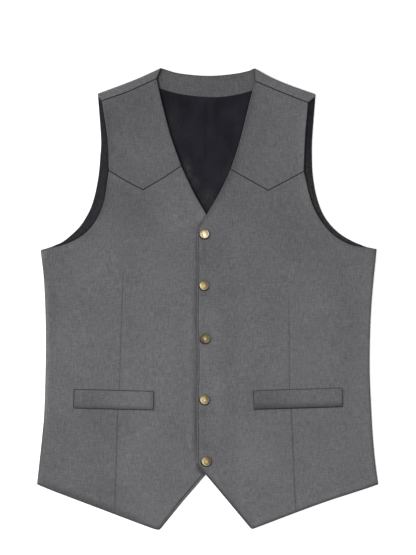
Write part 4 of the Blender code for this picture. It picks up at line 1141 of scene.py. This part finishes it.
def makeSnap(node, look):
    x, h, tiltX, tiltY, tarnishAndShade, paintedHighlight, rimHighlight = snaps[node]
    radius, base = look["radius"], look["radius"] - look["undercut"]
    around = np.linspace(0, 2 * math.pi, 16, endpoint=False)
    seat = frontTop("left", x + radius * np.cos(around), h + radius * np.sin(around)).max() + layers["gap"]
    centre = (x, h - cut["length"] / 2, seat)
    bpy.ops.object.select_all(action="DESELECT")
    bpy.ops.mesh.primitive_circle_add(vertices=look["segments"], radius=base, fill_type="NGON", location=centre)
    cap = bpy.context.object
    cap.name = cap.data.name = node.replace("_", "Cap")
    bpy.ops.object.transform_apply(location=True, rotation=True, scale=True)
    bpy.ops.object.mode_set(mode="EDIT")
    bpy.ops.mesh.select_mode(type="FACE")
    bpy.ops.mesh.select_all(action="SELECT")
    bpy.ops.mesh.extrude_region_move(TRANSFORM_OT_translate={"value": (0, 0, look["wall"])})
    bpy.ops.transform.resize(value=(radius / base, radius / base, 1), center_override=centre)
    for inset, rise in look["rings"]:
        bpy.ops.mesh.inset(thickness=inset, depth=0)
        bpy.ops.transform.translate(value=(0, 0, rise))
    bpy.ops.mesh.poke()
    bpy.ops.mesh.select_all(action="SELECT")
    bpy.ops.mesh.normals_make_consistent(inside=False)
    bpy.ops.object.mode_set(mode="OBJECT")
    co = np.array([v.co for v in cap.data.vertices])
    local = co - centre
    u, w = local[:, 0] / radius, local[:, 1] / radius
    share = np.hypot(u, w)
    # darker in a ring, and to the left partly from age; painted shade to the left, to the upper right, at the top and
    # under the rim
    ring = (0.22 + 0.6 * tarnishAndShade) * bell(share - 0.64, 0.08)
    left = tarnishAndShade * mix(0.35, 1, smooth(0.4 - 1.2 * u)) * mix(0.35, 1, ease(share, 0.1, 0.5))
    upperRight = 0.58 * smooth(1.3 * (0.94 * u + 0.34 * w) + 0.1) * smooth(2 * share - 0.5) * (1 - 0.7 * paintedHighlight)
    above = 0.45 * smooth(1.6 * (-0.55 * u + 0.84 * w) - 0.35) * smooth(3 * share - 1.2)
    dull = np.maximum.reduce([ring, left, upperRight, above, 0.6 * (local[:, 2] < 0.0002)])
    # painted highlight on the right, and along the rim to the lower left
    bright = paintedHighlight * ease(u, -0.62, 0.18) * ease(share, 1.04, 0.72) * ease(w, 0.95, 0.35)
    crescent = smooth(1.9 * (-0.82 * u - 0.57 * w) - 0.55) * ease(share, 0.58, 0.72) * ease(share, 1.0, 0.94)
    for name, values in (("shade", dull), ("paintedHighlight", np.maximum(bright, rimHighlight * crescent))):
        cap.data.attributes.new(name, "FLOAT", "POINT").data.foreach_set("value", np.clip(values, 0, 1))
    co[:, 2] += local[:, 1] * math.sin(math.radians(tiltX)) - local[:, 0] * math.sin(math.radians(tiltY))
    cap.data.vertices.foreach_set("co", co.ravel())
    cap.data.shade_smooth()
    cap.data.set_sharp_from_angle(angle=math.radians(50))
    return finishPiece(cap, brass, "snap_metal", node)


caps = [makeSnap(node, snapLook) for node in snaps]
print("snap caps made")

for side in signOf:
    front, frontArea = fronts[side]
    yoke, yokeArea = yokes[side]
    welt, weltArea = weltPieces[side]

stageLook = {
    "floor": 12.0, "floorLevel": -0.0003, "floorColour": (0.86, 0.86, 0.86), "floorPale": (0.87, 0.87, 0.87),
    "floorGrain": (40, 40, 40), "floorGlow": 0.34, "ambient": 0.32,
    "frameHeight": 0.8325, "lens": 120, "sensor": 36, "aim": (0.0004, 0.0318), "clothLevel": 0.004,
}
# soft boxes: place, size, watts
softBoxes = {"upperLeft": ((-6.6, 3.0, 4.0), 6.5, 688), "lowerLeft": ((-0.4, -0.9, 2.3), 1.4, 34),
             "lowSide": ((-4.0, -2.4, 1.5), 1.6, 40)}

bpy.ops.object.select_all(action="DESELECT")
bpy.ops.mesh.primitive_plane_add(size=stageLook["floor"], location=(0, 0, stageLook["floorLevel"]))
floor = bpy.context.object
floor.name = "floor"
paper, tree, shader, coords = newMaterial("whitePaper")
grain = noiseOf(tree, coords, stageLook["floorGrain"], 3.0)
feed(tree, shader, {
    "Base Color": rampOf(tree, grain, [(0.3, stageLook["floorColour"]), (0.7, stageLook["floorPale"])]),
    "Roughness": 0.9, "Specular IOR Level": 0.1,
    "Emission Color": (1, 1, 1, 1), "Emission Strength": stageLook["floorGlow"]})  # lit from below like a light table
floor.data.materials.append(paper)

world = bpy.data.worlds.new("studio")
world.use_nodes = True
feed(world.node_tree, world.node_tree.nodes["Background"], {"Color": (1, 1, 1, 1), "Strength": stageLook["ambient"]})
bpy.context.scene.world = world
for name, (spot, size, watts) in softBoxes.items():
    bpy.ops.object.light_add(type="AREA", location=spot)
    box = bpy.context.object
    box.name = name
    box.data.shape, box.data.size, box.data.energy = "SQUARE", size, watts
    box.visible_camera = False
    x, y, z = spot
    box.rotation_euler = (math.atan2(math.hypot(x, y), z), 0, math.atan2(x, -y))

distance = stageLook["frameHeight"] * stageLook["lens"] / stageLook["sensor"]
bpy.ops.object.camera_add(location=(*stageLook["aim"], stageLook["clothLevel"] + distance), rotation=(0, 0, 0))
camera = bpy.context.object
camera.data.lens, camera.data.sensor_width = stageLook["lens"], stageLook["sensor"]
camera.data.clip_end = 50
bpy.context.scene.camera = camera
bpy.context.scene.view_settings.view_transform = "Standard"
print("stage set")
